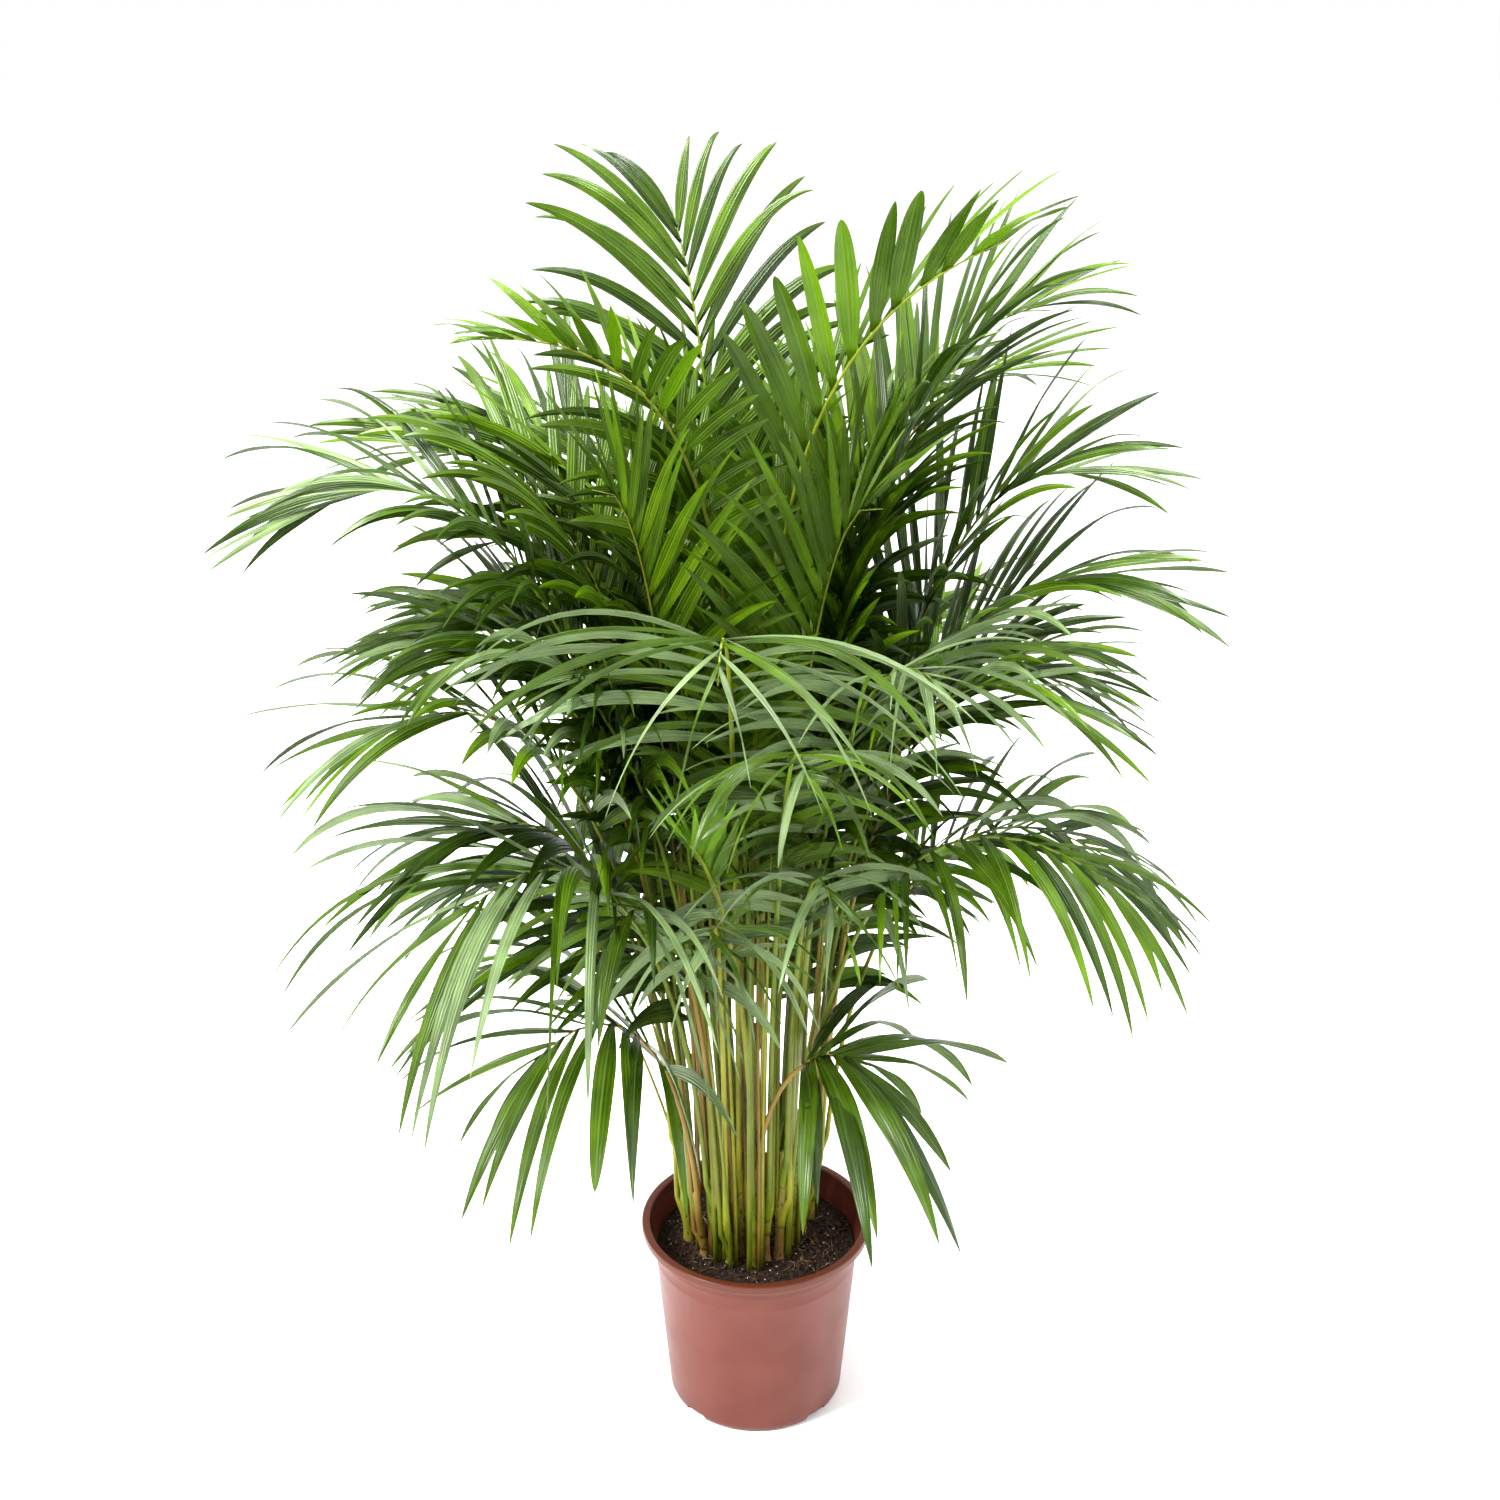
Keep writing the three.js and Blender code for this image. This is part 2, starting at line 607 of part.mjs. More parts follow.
const obstacles = [boxed(pot, 'pot'), boxed(soil, 'soil')];
CANES.forEach((_, i) => {
  const cane = makeCane(i);
  obstacles.push(boxed(cane, `cane ${i}`));
  add(`cane_${String(i + 1).padStart(2, '0')}`, cane, paint(COLOURS.cane, 0.55));
});

const plans = planFronds();
growRibs(plans);
plans.forEach((plan, index) => obstacles.push(boxed(makeFrond(plan, []), index)));
const ways = growLeaflets(plans, obstacles);
plans.forEach((plan, index) => {
  const colour = index % 3 === 0 ? COLOURS.frondDark : COLOURS.frond;
  add(`frond_${plan.name}`, makeFrond(plan, ways[index]), paint(colour, 0.5));
});

export default group;
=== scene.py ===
# %% [markdown]
# # A potted areca palm
#
# An areca palm is a clump of thin green canes. Each cane carries a few feather fronds, and each
# frond is a long stalk with narrow leaflets in two rows. This notebook dresses the plain solids of
# such a palm: the pot, the soil, the canes, the stalks and about two thousand leaflets.
#
# The first cell loads the solids as a fixed frame. Everything after it takes its places from them.

# %% Load the frame
import math

import bmesh
import bpy
import numpy as np
from mathutils import Matrix, Vector, noise


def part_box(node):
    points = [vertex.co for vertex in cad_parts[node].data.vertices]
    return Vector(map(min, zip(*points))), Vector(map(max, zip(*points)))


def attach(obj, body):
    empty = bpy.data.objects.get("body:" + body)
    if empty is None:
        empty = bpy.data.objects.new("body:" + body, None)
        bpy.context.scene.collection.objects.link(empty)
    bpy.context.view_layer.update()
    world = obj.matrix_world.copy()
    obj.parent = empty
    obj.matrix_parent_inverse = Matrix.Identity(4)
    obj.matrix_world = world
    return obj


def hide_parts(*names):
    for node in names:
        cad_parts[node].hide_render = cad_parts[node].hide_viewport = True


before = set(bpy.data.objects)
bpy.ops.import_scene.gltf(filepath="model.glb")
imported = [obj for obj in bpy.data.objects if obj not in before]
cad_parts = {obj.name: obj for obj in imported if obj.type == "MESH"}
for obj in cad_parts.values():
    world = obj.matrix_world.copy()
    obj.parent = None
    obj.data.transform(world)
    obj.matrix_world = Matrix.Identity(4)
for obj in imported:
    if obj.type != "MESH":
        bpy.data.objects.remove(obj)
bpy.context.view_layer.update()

MM = 0.001


def add_object(name, data):
    """A new object in the scene."""
    made = bpy.data.objects.new(name, data)
    bpy.context.collection.objects.link(made)
    return made


# %% [markdown]
# ## The camera
#
# The rim and the foot of a round pot show as two ellipses. Their widths and heights tell how far
# away the camera was and how steeply it looked down, so the view can be set up again from numbers.

# %% Set up the camera
LENS = 60.0
SENSOR = 36.0
CAMERA_PLACE = (-0.0055, -1.89, 1.567)
CAMERA_PITCH = 25.6

camera = add_object("camera", bpy.data.cameras.new("camera"))
camera.data.lens = LENS
camera.data.sensor_width = SENSOR
camera.location = CAMERA_PLACE
camera.rotation_euler = (math.radians(90 - CAMERA_PITCH), 0, 0)
bpy.context.scene.camera = camera
print("camera:", CAMERA_PLACE, "pitched down", CAMERA_PITCH, "degrees, lens", LENS)

# %% [markdown]
# ## Light and floor
#
# The palm was photographed against pure white with soft light from above and behind, which makes
# the upper leaflets glow. A white world gives the background and the fill. One wide lamp behind
# and above shines through the leaves, one at the front left lights leaves and pot, and a weak one
# at the right softens the shade.

# %% Light the stage
WORLD_LIGHT = 1.0
LAMPS = {
    "lamp_above": ((0.1, 0.5, 3.0), 1.2, 2.2, 235),
    "lamp_left": ((-2.1, -1.3, 2.4), 0.7, 1.2, 190),
    "lamp_right": ((1.9, -0.9, 1.6), 0.2, 1.6, 22),
}
LAMP_AIM = Vector((0, 0, 0.6))

world = bpy.data.worlds.new("white_room")
world.use_nodes = True
world.node_tree.nodes["Background"].inputs["Color"].default_value = (1, 1, 1, 1)
world.node_tree.nodes["Background"].inputs["Strength"].default_value = WORLD_LIGHT
bpy.context.scene.world = world
bpy.context.scene.view_settings.view_transform = "Standard"

for name, (place, width, tall, power) in LAMPS.items():
    lamp = add_object(name, bpy.data.lights.new(name, "AREA"))
    lamp.data.shape = "RECTANGLE"
    lamp.data.size = width
    lamp.data.size_y = tall
    lamp.data.energy = power
    lamp.location = place
    lamp.rotation_euler = (LAMP_AIM - Vector(place)).to_track_quat("-Z", "Y").to_euler()
    print(name, "at", place, "power", power)

# %% [markdown]
# ## Tools for finishes
#
# A finish is a small graph of nodes. Writing each node by hand takes many lines, so one helper adds
# a node and fills its sockets: a plain value is set, and another node's output is linked.

# %% A helper that adds nodes
def add_node(tree, kind, inputs=None, **settings):
    """Adds a node, then sets or links its inputs by name or number."""
    node = tree.nodes.new(kind)
    for key, value in settings.items():
        setattr(node, key, value)
    for key, value in (inputs or {}).items():
        if isinstance(value, bpy.types.NodeSocket):
            tree.links.new(value, node.inputs[key])
        else:
            node.inputs[key].default_value = value
    return node


def mix_colours(tree, share, first, second):
    """A colour between two others."""
    return add_node(tree, "ShaderNodeMix", {0: share, 6: first, 7: second}, data_type="RGBA").outputs[2]


def calculate(tree, operation, *values):
    """One step of arithmetic on numbers."""
    return add_node(tree, "ShaderNodeMath", dict(enumerate(values)), operation=operation).outputs[0]


def ramp(tree, value, low, high, to_low=0.0, to_high=1.0):
    """A number that goes from to_low to to_high while the value goes from low to high."""
    levels = {"Value": value, "From Min": low, "From Max": high, "To Min": to_low, "To Max": to_high}
    return add_node(tree, "ShaderNodeMapRange", levels, interpolation_type="SMOOTHSTEP").outputs[0]


# %% Helpers for noise, height and groups
def speckle(tree, scale, detail=3.0, stretch=(1, 1, 1)):
    """Cloudy noise over the piece, in metres of its own space."""
    place = add_node(tree, "ShaderNodeTexCoord").outputs["Object"]
    spread = add_node(tree, "ShaderNodeMapping", {"Vector": place, "Scale": stretch}).outputs[0]
    cloud = {"Vector": spread, "Scale": scale, "Detail": detail}
    return add_node(tree, "ShaderNodeTexNoise", cloud).outputs[0]


def height(tree):
    """How high a point of the piece lies, in metres."""
    place = add_node(tree, "ShaderNodeTexCoord").outputs["Object"]
    return add_node(tree, "ShaderNodeSeparateXYZ", {0: place}).outputs[2]


def start_group(name, inputs, outputs):
    """A node group with named inputs and outputs, and its two end nodes."""
    group = bpy.data.node_groups.new(name, "ShaderNodeTree")
    for way, sockets in {"INPUT": inputs, "OUTPUT": outputs}.items():
        for label, kind in sockets.items():
            group.interface.new_socket(name=label, in_out=way, socket_type=f"NodeSocket{kind}")
    return group, group.nodes.new("NodeGroupInput").outputs, group.nodes.new("NodeGroupOutput").inputs


def use_group(tree, group, **inputs):
    """Places a node group in a finish, with its own values."""
    node = tree.nodes.new("ShaderNodeGroup")
    node.node_tree = group
    for key, value in inputs.items():
        node.inputs[key].default_value = value
    return node.outputs


# %% A helper that starts a finish
def start_finish(name, roughness, gloss):
    """An empty finish and its main shader."""
    finish = bpy.data.materials.new(name)
    finish.use_nodes = True
    shader = finish.node_tree.nodes["Principled BSDF"]
    shader.inputs["Roughness"].default_value = roughness
    shader.inputs["Specular IOR Level"].default_value = gloss
    return finish, finish.node_tree, shader


# %% [markdown]
# ## Effects that several finishes share
#
# Nothing on a plant or an old pot has one even colour. Two groups make up for it. The first lets a
# colour drift between a dark and a light one. The second gives a surface fine grain.

# %% Build the shared groups
def build_mottle():
    """Colour that drifts between two others in patches, with finer patches inside them."""
    sockets = {"Dark": "Color", "Light": "Color", "Patch": "Float", "Edge": "Float"}
    group, given, result = start_group("mottle", sockets, {"Colour": "Color"})
    low = calculate(group, "SUBTRACT", 0.5, given["Edge"])
    high = calculate(group, "ADD", 0.5, given["Edge"])
    share = ramp(group, speckle(group, given["Patch"], 4.0), low, high)
    group.links.new(mix_colours(group, share, given["Dark"], given["Light"]), result["Colour"])
    return group


def build_grain():
    """Fine bumps, as on moulded plastic, bark or soil."""
    group, given, result = start_group("grain", {"Size": "Float", "Depth": "Float"}, {"Normal": "Vector"})
    cloud = speckle(group, given["Size"], 5.0)
    bump = add_node(group, "ShaderNodeBump", {"Height": cloud, "Distance": given["Depth"]})
    group.links.new(bump.outputs[0], result["Normal"])
    return group


mottle = build_mottle()
grain = build_grain()
print("shared groups:", mottle.name, grain.name)


def opaque(red, green, blue):
    """A colour with its fourth number, which a colour socket wants."""
    return (red, green, blue, 1.0)


def patches(tree, dark, light, size, edge):
    """A colour that drifts between two others."""
    inputs = {"Dark": opaque(*dark), "Light": opaque(*light), "Patch": size, "Edge": edge}
    return use_group(tree, mottle, **inputs)["Colour"]


def coat(tree, shader, colour, size, depth):
    """Gives a finish its colour, and grain of some size and depth."""
    tree.links.new(colour, shader.inputs["Base Color"])
    tree.links.new(use_group(tree, grain, Size=size, Depth=depth)["Normal"], shader.inputs["Normal"])


# %% [markdown]
# ## Floor
#
# The floor is only a stage: a wide white plane that catches a faint shadow under the pot.

# %% Lay the floor
FLOOR_HALF = 6.0

floor_sheet = bmesh.new()
bmesh.ops.create_grid(floor_sheet, x_segments=1, y_segments=1, size=FLOOR_HALF)
floor_mesh = bpy.data.meshes.new("floor")
floor_sheet.to_mesh(floor_mesh)
floor_sheet.free()
floor = add_object("floor", floor_mesh)
floor_finish, _, floor_shader = start_finish("white_floor", 0.9, 0.0)
floor_shader.inputs["Base Color"].default_value = opaque(0.97, 0.97, 0.97)
floor_mesh.materials.append(floor_finish)
print("floor:", 2 * FLOOR_HALF, "metres wide")

# %% [markdown]
# ## Tools for pieces
#
# Every piece goes through the same last steps: its mesh gets an object and a finish, it rides on
# the palm's one body, and it stands for the solids that it covers.

# %% Helpers that turn a mesh into a piece
def add_piece(name, mesh, finish, nodes):
    """Makes a finished piece of a mesh. It stands for the named solids."""
    piece = add_object(name, mesh)
    mesh.materials.append(finish)
    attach(piece, "root")
    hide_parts(*nodes)
    print(name, len(mesh.polygons), "faces")


def to_mesh(name, shape, smooth=True):
    """Turns a bmesh into a mesh whose faces point outwards."""
    bmesh.ops.recalc_face_normals(shape, faces=shape.faces)
    for face in shape.faces:
        face.smooth = smooth
    mesh = bpy.data.meshes.new(name)
    shape.to_mesh(mesh)
    shape.free()
    return mesh


def spin_profile(profile, steps):
    """A closed turned body from points of (radius, height) that start and end on the axis."""
    shape = bmesh.new()
    points = [shape.verts.new((radius, 0, level)) for radius, level in profile]
    lines = [shape.edges.new(pair) for pair in zip(points, points[1:])]
    turn = {"cent": (0, 0, 0), "axis": (0, 0, 1), "angle": 2 * math.pi}
    bmesh.ops.spin(shape, geom=points + lines, steps=steps, use_merge=True, **turn)
    bmesh.ops.remove_doubles(shape, verts=shape.verts, dist=0.01 * MM)
    return shape


def arc(centre, radius, start, end, steps):
    """Points on an arc, from one angle to another in degrees, about a centre (radius, height)."""
    angles = [math.radians(start + (end - start) * i / steps) for i in range(steps + 1)]
    return [(centre[0] + radius * math.cos(a), centre[1] + radius * math.sin(a)) for a in angles]


# %% A helper that sweeps a ring along frames
def frame_of(centre, across, up, width, depth):
    """One ring of a sweep, as a matrix that maps the unit circle on to it."""
    across, up = Vector(across), Vector(up)
    ahead = across.cross(up)
    made = Matrix.Identity(4)
    for row in range(3):
        made[row] = (across[row] * width, up[row] * depth, ahead[row], centre[row])
    return made


def sweep(shape, frames, sides):
    """A closed tube through the frames."""
    ring = bmesh.ops.create_circle(shape, cap_ends=True, segments=sides, radius=1.0)["verts"]
    bmesh.ops.transform(shape, matrix=frames[0], verts=ring)
    edges = list(dict.fromkeys(edge for vert in ring for edge in vert.link_edges))
    for before, after in zip(frames, frames[1:]):
        made = bmesh.ops.extrude_edge_only(shape, edges=edges)["geom"]
        ring = [part for part in made if isinstance(part, bmesh.types.BMVert)]
        edges = [part for part in made if isinstance(part, bmesh.types.BMEdge)]
        bmesh.ops.transform(shape, matrix=after @ before.inverted(), verts=ring)
    bmesh.ops.contextual_create(shape, geom=edges)


# %% [markdown]
# ## Pot
#
# The pot is a common nursery pot of thin moulded plastic: a tapering wall, a rolled flat lip on a
# flaring shoulder, and a rounded foot with notches that let water out. Anything round is quickest
# to make by drawing half its section once and spinning it. The rim and the height are measured on
# the solid, and the thin lines below the lip are shallow steps in the section.

# %% Model the pot
pot_low, pot_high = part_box("pot")
soil_low, soil_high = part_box("soil")
RIM = (pot_high[0] - pot_low[0]) / 2
POT_HEIGHT = pot_high[2]
SOIL_TOP = soil_high[2]
POT_BASE = 78 * MM
POT_FOOT = 80.4 * MM
FOOT_ROUND = 6 * MM
WALL = 2 * MM
FLOOR_THICKNESS = 3 * MM
LIP_DEPTH = 8 * MM
LIP_ROUND = 1.6 * MM
NECK = RIM - 9 * MM
LEDGE = RIM - 6 * MM
SHOULDER_DROP = 9 * MM
LINE_LEVELS = (149 * MM, 163 * MM)
LINE_STEPS = ((-0.8 * MM, 0), (0, 0.22 * MM), (0.8 * MM, 0))
POT_STEPS = 144


def pot_section():
    """Half the pot's section, from the middle of its underside round to the middle of its floor."""
    lip_under = POT_HEIGHT - LIP_DEPTH
    wall_top = (NECK - 2 * MM, lip_under - SHOULDER_DROP)

    def wall(level):
        return POT_FOOT + (wall_top[0] - POT_FOOT) * (level - FOOT_ROUND) / (wall_top[1] - FOOT_ROUND)

    section = [(0, 0), (POT_BASE - FOOT_ROUND * 0.7, 0)]
    section += [(POT_BASE - 1.2 * MM, 0.6 * MM), (POT_BASE + 0.9 * MM, 2.4 * MM), (POT_FOOT, FOOT_ROUND)]
    section += [(wall(level), level) for level in (9 * MM, 12 * MM, 40 * MM, 90 * MM)]
    for level in LINE_LEVELS:
        section += [(wall(level + off) + depth, level + off) for off, depth in LINE_STEPS]
    section += [wall_top, (NECK - 0.6 * MM, lip_under - 6 * MM), (NECK + 1.6 * MM, lip_under - 3.2 * MM)]
    section += [(NECK + 4.6 * MM, lip_under - 1 * MM), (RIM - 2.2 * MM, lip_under)]
    section += arc((RIM - LIP_ROUND, lip_under + LIP_ROUND), LIP_ROUND, -60, 0, 3)
    section += arc((RIM - LIP_ROUND, POT_HEIGHT - LIP_ROUND), LIP_ROUND, 0, 90, 5)
    section += arc((LEDGE, POT_HEIGHT - LIP_ROUND), LIP_ROUND, 90, 170, 4)
    section += [(NECK + 1 * MM, POT_HEIGHT - 4.5 * MM), (wall_top[0] - WALL, wall_top[1])]
    section += [(POT_FOOT - WALL, FOOT_ROUND), (POT_BASE - FOOT_ROUND, FLOOR_THICKNESS)]
    return section + [(0, FLOOR_THICKNESS)]


pot_mesh = to_mesh("pot_shell", spin_profile(pot_section(), POT_STEPS))
print("pot: rim radius", RIM, "height", POT_HEIGHT)

# %% [markdown]
# A drain notch is a bite out of the foot. The simplest way is to cut a rounded block out of the
# shell with a Boolean modifier, once for each notch, and to keep the result as the mesh.

# %% Cut the drain notches
NOTCH_COUNT = 4
NOTCH_WIDTH = 24 * MM
NOTCH_HEIGHT = 7 * MM
NOTCH_DEPTH = 9 * MM
NOTCH_ROUND = 2.4 * MM
SHARP_ANGLE = 38


def notch_cutter(turn):
    """A rounded block across the pot's foot."""
    block = bmesh.new()
    bmesh.ops.create_cube(block, size=1)
    bmesh.ops.scale(block, vec=(2 * NOTCH_DEPTH, NOTCH_WIDTH, 2 * NOTCH_HEIGHT), verts=block.verts)
    upright = [edge for edge in block.edges if abs(edge.verts[0].co.y - edge.verts[1].co.y) < MM]
    rounding = {"offset": NOTCH_ROUND, "segments": 3, "profile": 0.5}
    bmesh.ops.bevel(block, geom=upright, affect="EDGES", material=-1, **rounding)
    bmesh.ops.translate(block, vec=(POT_FOOT, 0, 0), verts=block.verts)
    bmesh.ops.rotate(block, cent=(0, 0, 0), matrix=Matrix.Rotation(turn, 3, "Z"), verts=block.verts)
    return add_object("notch", to_mesh("notch", block))


def cut(mesh, cutters):
    """The mesh less each cutter."""
    shell = add_object("shell", mesh)
    for cutter in cutters:
        bite = shell.modifiers.new("bite", "BOOLEAN")
        bite.object = cutter
        bite.operation = "DIFFERENCE"
        bite.solver = "EXACT"
    seen = shell.evaluated_get(bpy.context.evaluated_depsgraph_get())
    result = bpy.data.meshes.new_from_object(seen)
    for used in [shell, *cutters]:
        bpy.data.objects.remove(used)
    return result


notches = [notch_cutter((i + 0.5) * 2 * math.pi / NOTCH_COUNT) for i in range(NOTCH_COUNT)]
pot_mesh = cut(pot_mesh, notches)
pot_mesh.set_sharp_from_angle(angle=math.radians(SHARP_ANGLE))
print("drain notches:", NOTCH_COUNT, "pot vertices:", len(pot_mesh.vertices))

# %% [markdown]
# The plastic is a brownish pink with a soft sheen. It is darker and redder from just below the lip
# upwards, and it carries faint scuffs and dried water marks that run downwards. Wherever a pattern
# runs one way, stretching the noise does it.

# %% Finish the pot
def plastic_finish():
    """Moulded terracotta-pink plastic with a darker lip, scuffs and water marks."""
    finish, tree, shader = start_finish("pot_plastic", 0.34, 0.3)
    wall = patches(tree, (0.122, 0.025, 0.015), (0.144, 0.033, 0.021), 22.0, 0.22)
    level = height(tree)
    lip = ramp(tree, level, POT_HEIGHT - LIP_DEPTH - 1.5 * MM, POT_HEIGHT - LIP_DEPTH + 1 * MM)
    body = mix_colours(tree, lip, wall, opaque(0.100, 0.022, 0.010))
    streaks = speckle(tree, 60.0, 4.0, stretch=(1, 1, 0.12))
    stained = ramp(tree, streaks, 0.60, 0.78, 0.0, 0.35)
    body = mix_colours(tree, stained, body, opaque(0.085, 0.024, 0.014))
    tree.links.new(ramp(tree, speckle(tree, 30.0), 0.3, 0.7, 0.32, 0.38), shader.inputs["Roughness"])
    coat(tree, shader, body, 900.0, 0.00006)
    return finish


add_piece("pot_shell", pot_mesh, plastic_finish(), ["pot"])

# %% [markdown]
# ## Soil
#
# Potting soil is a bed of peat and bark crumbs with a few white grains of perlite. The bed is
# spun like the pot, then its top is roughened: every vertex on top moves by a smooth noise. Loose
# crumbs and grains lie on it as small solids of twenty faces.

# %% Model the soil bed
SOIL_EDGE = (soil_high[0] - soil_low[0]) / 2
SOIL_UNDER = soil_low[2]
SOIL_RINGS = 44
SOIL_STEPS = 150
SOIL_ROUGH = 2.6 * MM
SOIL_SINK = 1.5 * MM


def soil_level(x, y):
    """How high the soil lies at a place."""
    broad = noise.fractal(Vector((x, y, 0)) * 28, 1.0, 2.1, 3)
    fine = noise.fractal(Vector((x, y, 4)) * 210, 0.8, 2.0, 3)
    return SOIL_TOP - SOIL_SINK + SOIL_ROUGH * (0.7 * broad + 0.55 * fine)


def soil_bed():
    """The soil as one closed body with a rough top."""
    rim = [(SOIL_EDGE - 0.4 * MM) * (1 - (i / SOIL_RINGS) ** 1.2) for i in range(SOIL_RINGS + 1)]
    foot = SOIL_EDGE * POT_FOOT / (NECK - 2 * MM) - WALL
    section = [(0, SOIL_UNDER), (foot - 2 * MM, SOIL_UNDER)] + [(radius, SOIL_TOP) for radius in rim]
    bed = spin_profile(section, SOIL_STEPS)
    for vert in bed.verts:
        if vert.co.z > SOIL_TOP - MM:
            vert.co.z = soil_level(vert.co.x, vert.co.y)
    return to_mesh("soil_bed", bed)


# %% Scatter crumbs and grains
GRAIN_SQUASH = (0.48, 1.2)
GRAIN_MARGIN = 4 * MM
rng = np.random.default_rng(11)


def spot_on_soil(margin):
    """A random place on the soil, clear of its edge by a margin."""
    reach = (SOIL_EDGE - margin) * math.sqrt(rng.uniform(0, 1))
    turn = rng.uniform(0, 2 * math.pi)
    return reach * math.cos(turn), reach * math.sin(turn)


def scatter_grains(name, count, smallest, largest):
    """Small rough lumps that lie on the soil, joined in one mesh."""
    heap = bmesh.new()
    for _ in range(count):
        x, y = spot_on_soil(GRAIN_MARGIN)
        size = smallest + (largest - smallest) * rng.uniform(0, 1) ** 2
        place = Matrix.Translation((x, y, soil_level(x, y) + 0.25 * size))
        spin = Matrix.Rotation(rng.uniform(0, 6.28), 4, rng.uniform(-1, 1, 3))
        squash = Matrix.Diagonal((*rng.uniform(*GRAIN_SQUASH, 3), 1))
        bmesh.ops.create_icosphere(heap, subdivisions=1, radius=size, matrix=place @ spin @ squash)
    return to_mesh(name, heap, smooth=False)


# %% Scatter fibres
FIBRE_RADIUS = 0.28 * MM
FIBRE_STATIONS = 9
FIBRE_SIDES = 5
FIBRE_MARGIN = 14 * MM


def scatter_fibres(name, count, length):
    """Thin bent fibres that lie on the soil, joined in one mesh."""
    mat = bmesh.new()
    for _ in range(count):
        x, y = spot_on_soil(FIBRE_MARGIN)
        heading = rng.uniform(0, 2 * math.pi)
        bend = rng.normal(0, 1.2)
        size = length * rng.uniform(0.4, 1)
        frames = []
        for i in range(FIBRE_STATIONS + 1):
            way = Vector((math.cos(heading), math.sin(heading), 0))
            across = Vector((0, 0, 1)).cross(way)
            centre = (x, y, soil_level(x, y) + 0.5 * MM)
            frames.append(frame_of(centre, across, (0, 0, 1), FIBRE_RADIUS, FIBRE_RADIUS))
            x, y = x + way.x * size / FIBRE_STATIONS, y + way.y * size / FIBRE_STATIONS
            heading += bend / FIBRE_STATIONS
        sweep(mat, frames, FIBRE_SIDES)
    return to_mesh(name, mat)


# %% Finish the soil
def crumb_finish(name, dark, light, patch, roughness=0.95):
    """Rough matt crumbs between two colours."""
    finish, tree, shader = start_finish(name, roughness, 0.25)
    coat(tree, shader, patches(tree, dark, light, patch, 0.16), 700.0, 0.0008)
    return finish


peat = crumb_finish("damp_peat", (0.006, 0.003, 0.002), (0.040, 0.020, 0.012), 260.0)
bark = crumb_finish("bark_crumbs", (0.010, 0.005, 0.003), (0.070, 0.036, 0.020), 180.0)
perlite = crumb_finish("white_perlite", (0.50, 0.49, 0.46), (0.85, 0.84, 0.80), 300.0)
add_piece("soil_bed", soil_bed(), peat, ["soil"])
add_piece("soil_crumbs", scatter_grains("soil_crumbs", 1500, 0.7 * MM, 3.0 * MM), bark, ["soil"])
add_piece("perlite", scatter_grains("perlite", 170, 0.4 * MM, 1.3 * MM), perlite, ["soil"])
fibre = crumb_finish("root_fibre", (0.16, 0.09, 0.045), (0.42, 0.28, 0.15), 120.0, 0.8)
add_piece("soil_fibres", scatter_fibres("soil_fibres", 90, 22 * MM), fibre, ["soil"])

# %% [markdown]
# ## Canes
#
# A cane is a thin ringed stem. Each ring is the scar of a leaf that has dropped. A sweep suits any
# stem: one ring of vertices is extruded from station to station, and at each it is moved and
# scaled by a frame. The frames come from the solids, whose end rings give the axis and the radius.

# %% Measure the canes' solids
CANE_TAPER = 0.25
CANE_COUNT = sum(name.startswith("cane_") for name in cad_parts)


def corners_of(node):
    """The corners of a solid, each once, in metres."""
    corners = np.array([vert.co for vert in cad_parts[node].data.vertices])
    return np.unique(corners.round(6), axis=0)


class Cane:
    """A cane's axis and radius, measured on its solid."""

    def __init__(self, node):
        corners = corners_of(node)
        level = corners[:, 2]
        low = corners[level < level.min() + 0.1 * MM]
        top = corners[level > level.max() - 0.1 * MM]
        self.foot = low.mean(axis=0)
        self.top = top.mean(axis=0)
        self.radius = np.linalg.norm(top - self.top, axis=1).mean() / (1 - CANE_TAPER)
        self.height = self.top[2] - self.foot[2]

    def at(self, share):
        return self.foot + (self.top - self.foot) * share


canes = [Cane(f"cane_{i + 1:02d}") for i in range(CANE_COUNT)]
print("canes:", CANE_COUNT, "tallest:", max(cane.height for cane in canes))

# %% Model the canes
CANE_SIDES = 18
CANE_STEP = 1.6 * MM
RING_EVERY = 21 * MM
SUNK = 3 * MM
FLARE = 0.18
SCAR_SWELL = 0.45 * MM
SCAR_SHARPNESS = 9
SCARS_END = 0.8
WOBBLE = 0.8 * MM
ROUND_STATIONS = 4
NOISE_SEED = 5

noise.seed_set(NOISE_SEED)  # without a seed, noise_vector starts from the clock


def cane_frames(cane, index):
    """Stations up a cane: a flared foot, ring scars, small swellings and a rounded top."""
    count = max(12, int((cane.height + SUNK) / CANE_STEP))
    first_ring = RING_EVERY * rng.uniform(0.3, 0.9)
    frames = []
    for i in range(count + 1):
        rise = -SUNK + (cane.height + SUNK) * i / count
        share = max(0.0, rise / cane.height)
        radius = cane.radius * (1 - CANE_TAPER * share + FLARE * (1 - share) ** 12)
        ring = ((rise - first_ring) / RING_EVERY) % 1.0
        radius += SCAR_SWELL * math.exp(-((ring - 0.5) * SCAR_SHARPNESS) ** 2) * (share < SCARS_END)
        radius *= 1 + 0.05 * noise.noise(Vector((rise * 60, index * 7.3, 0)))
        if i > count - ROUND_STATIONS:
            radius *= math.sqrt(1 - ((i - count + ROUND_STATIONS) / (1.1 * ROUND_STATIONS)) ** 2)
        centre = cane.at(share) + np.array([0, 0, min(rise, 0.0)])
        bend = noise.noise_vector(Vector((rise * 25, index * 3.1, 5))) * WOBBLE
        frames.append(frame_of(Vector(centre) + bend, (1, 0, 0), (0, 1, 0), radius, radius))
    return frames


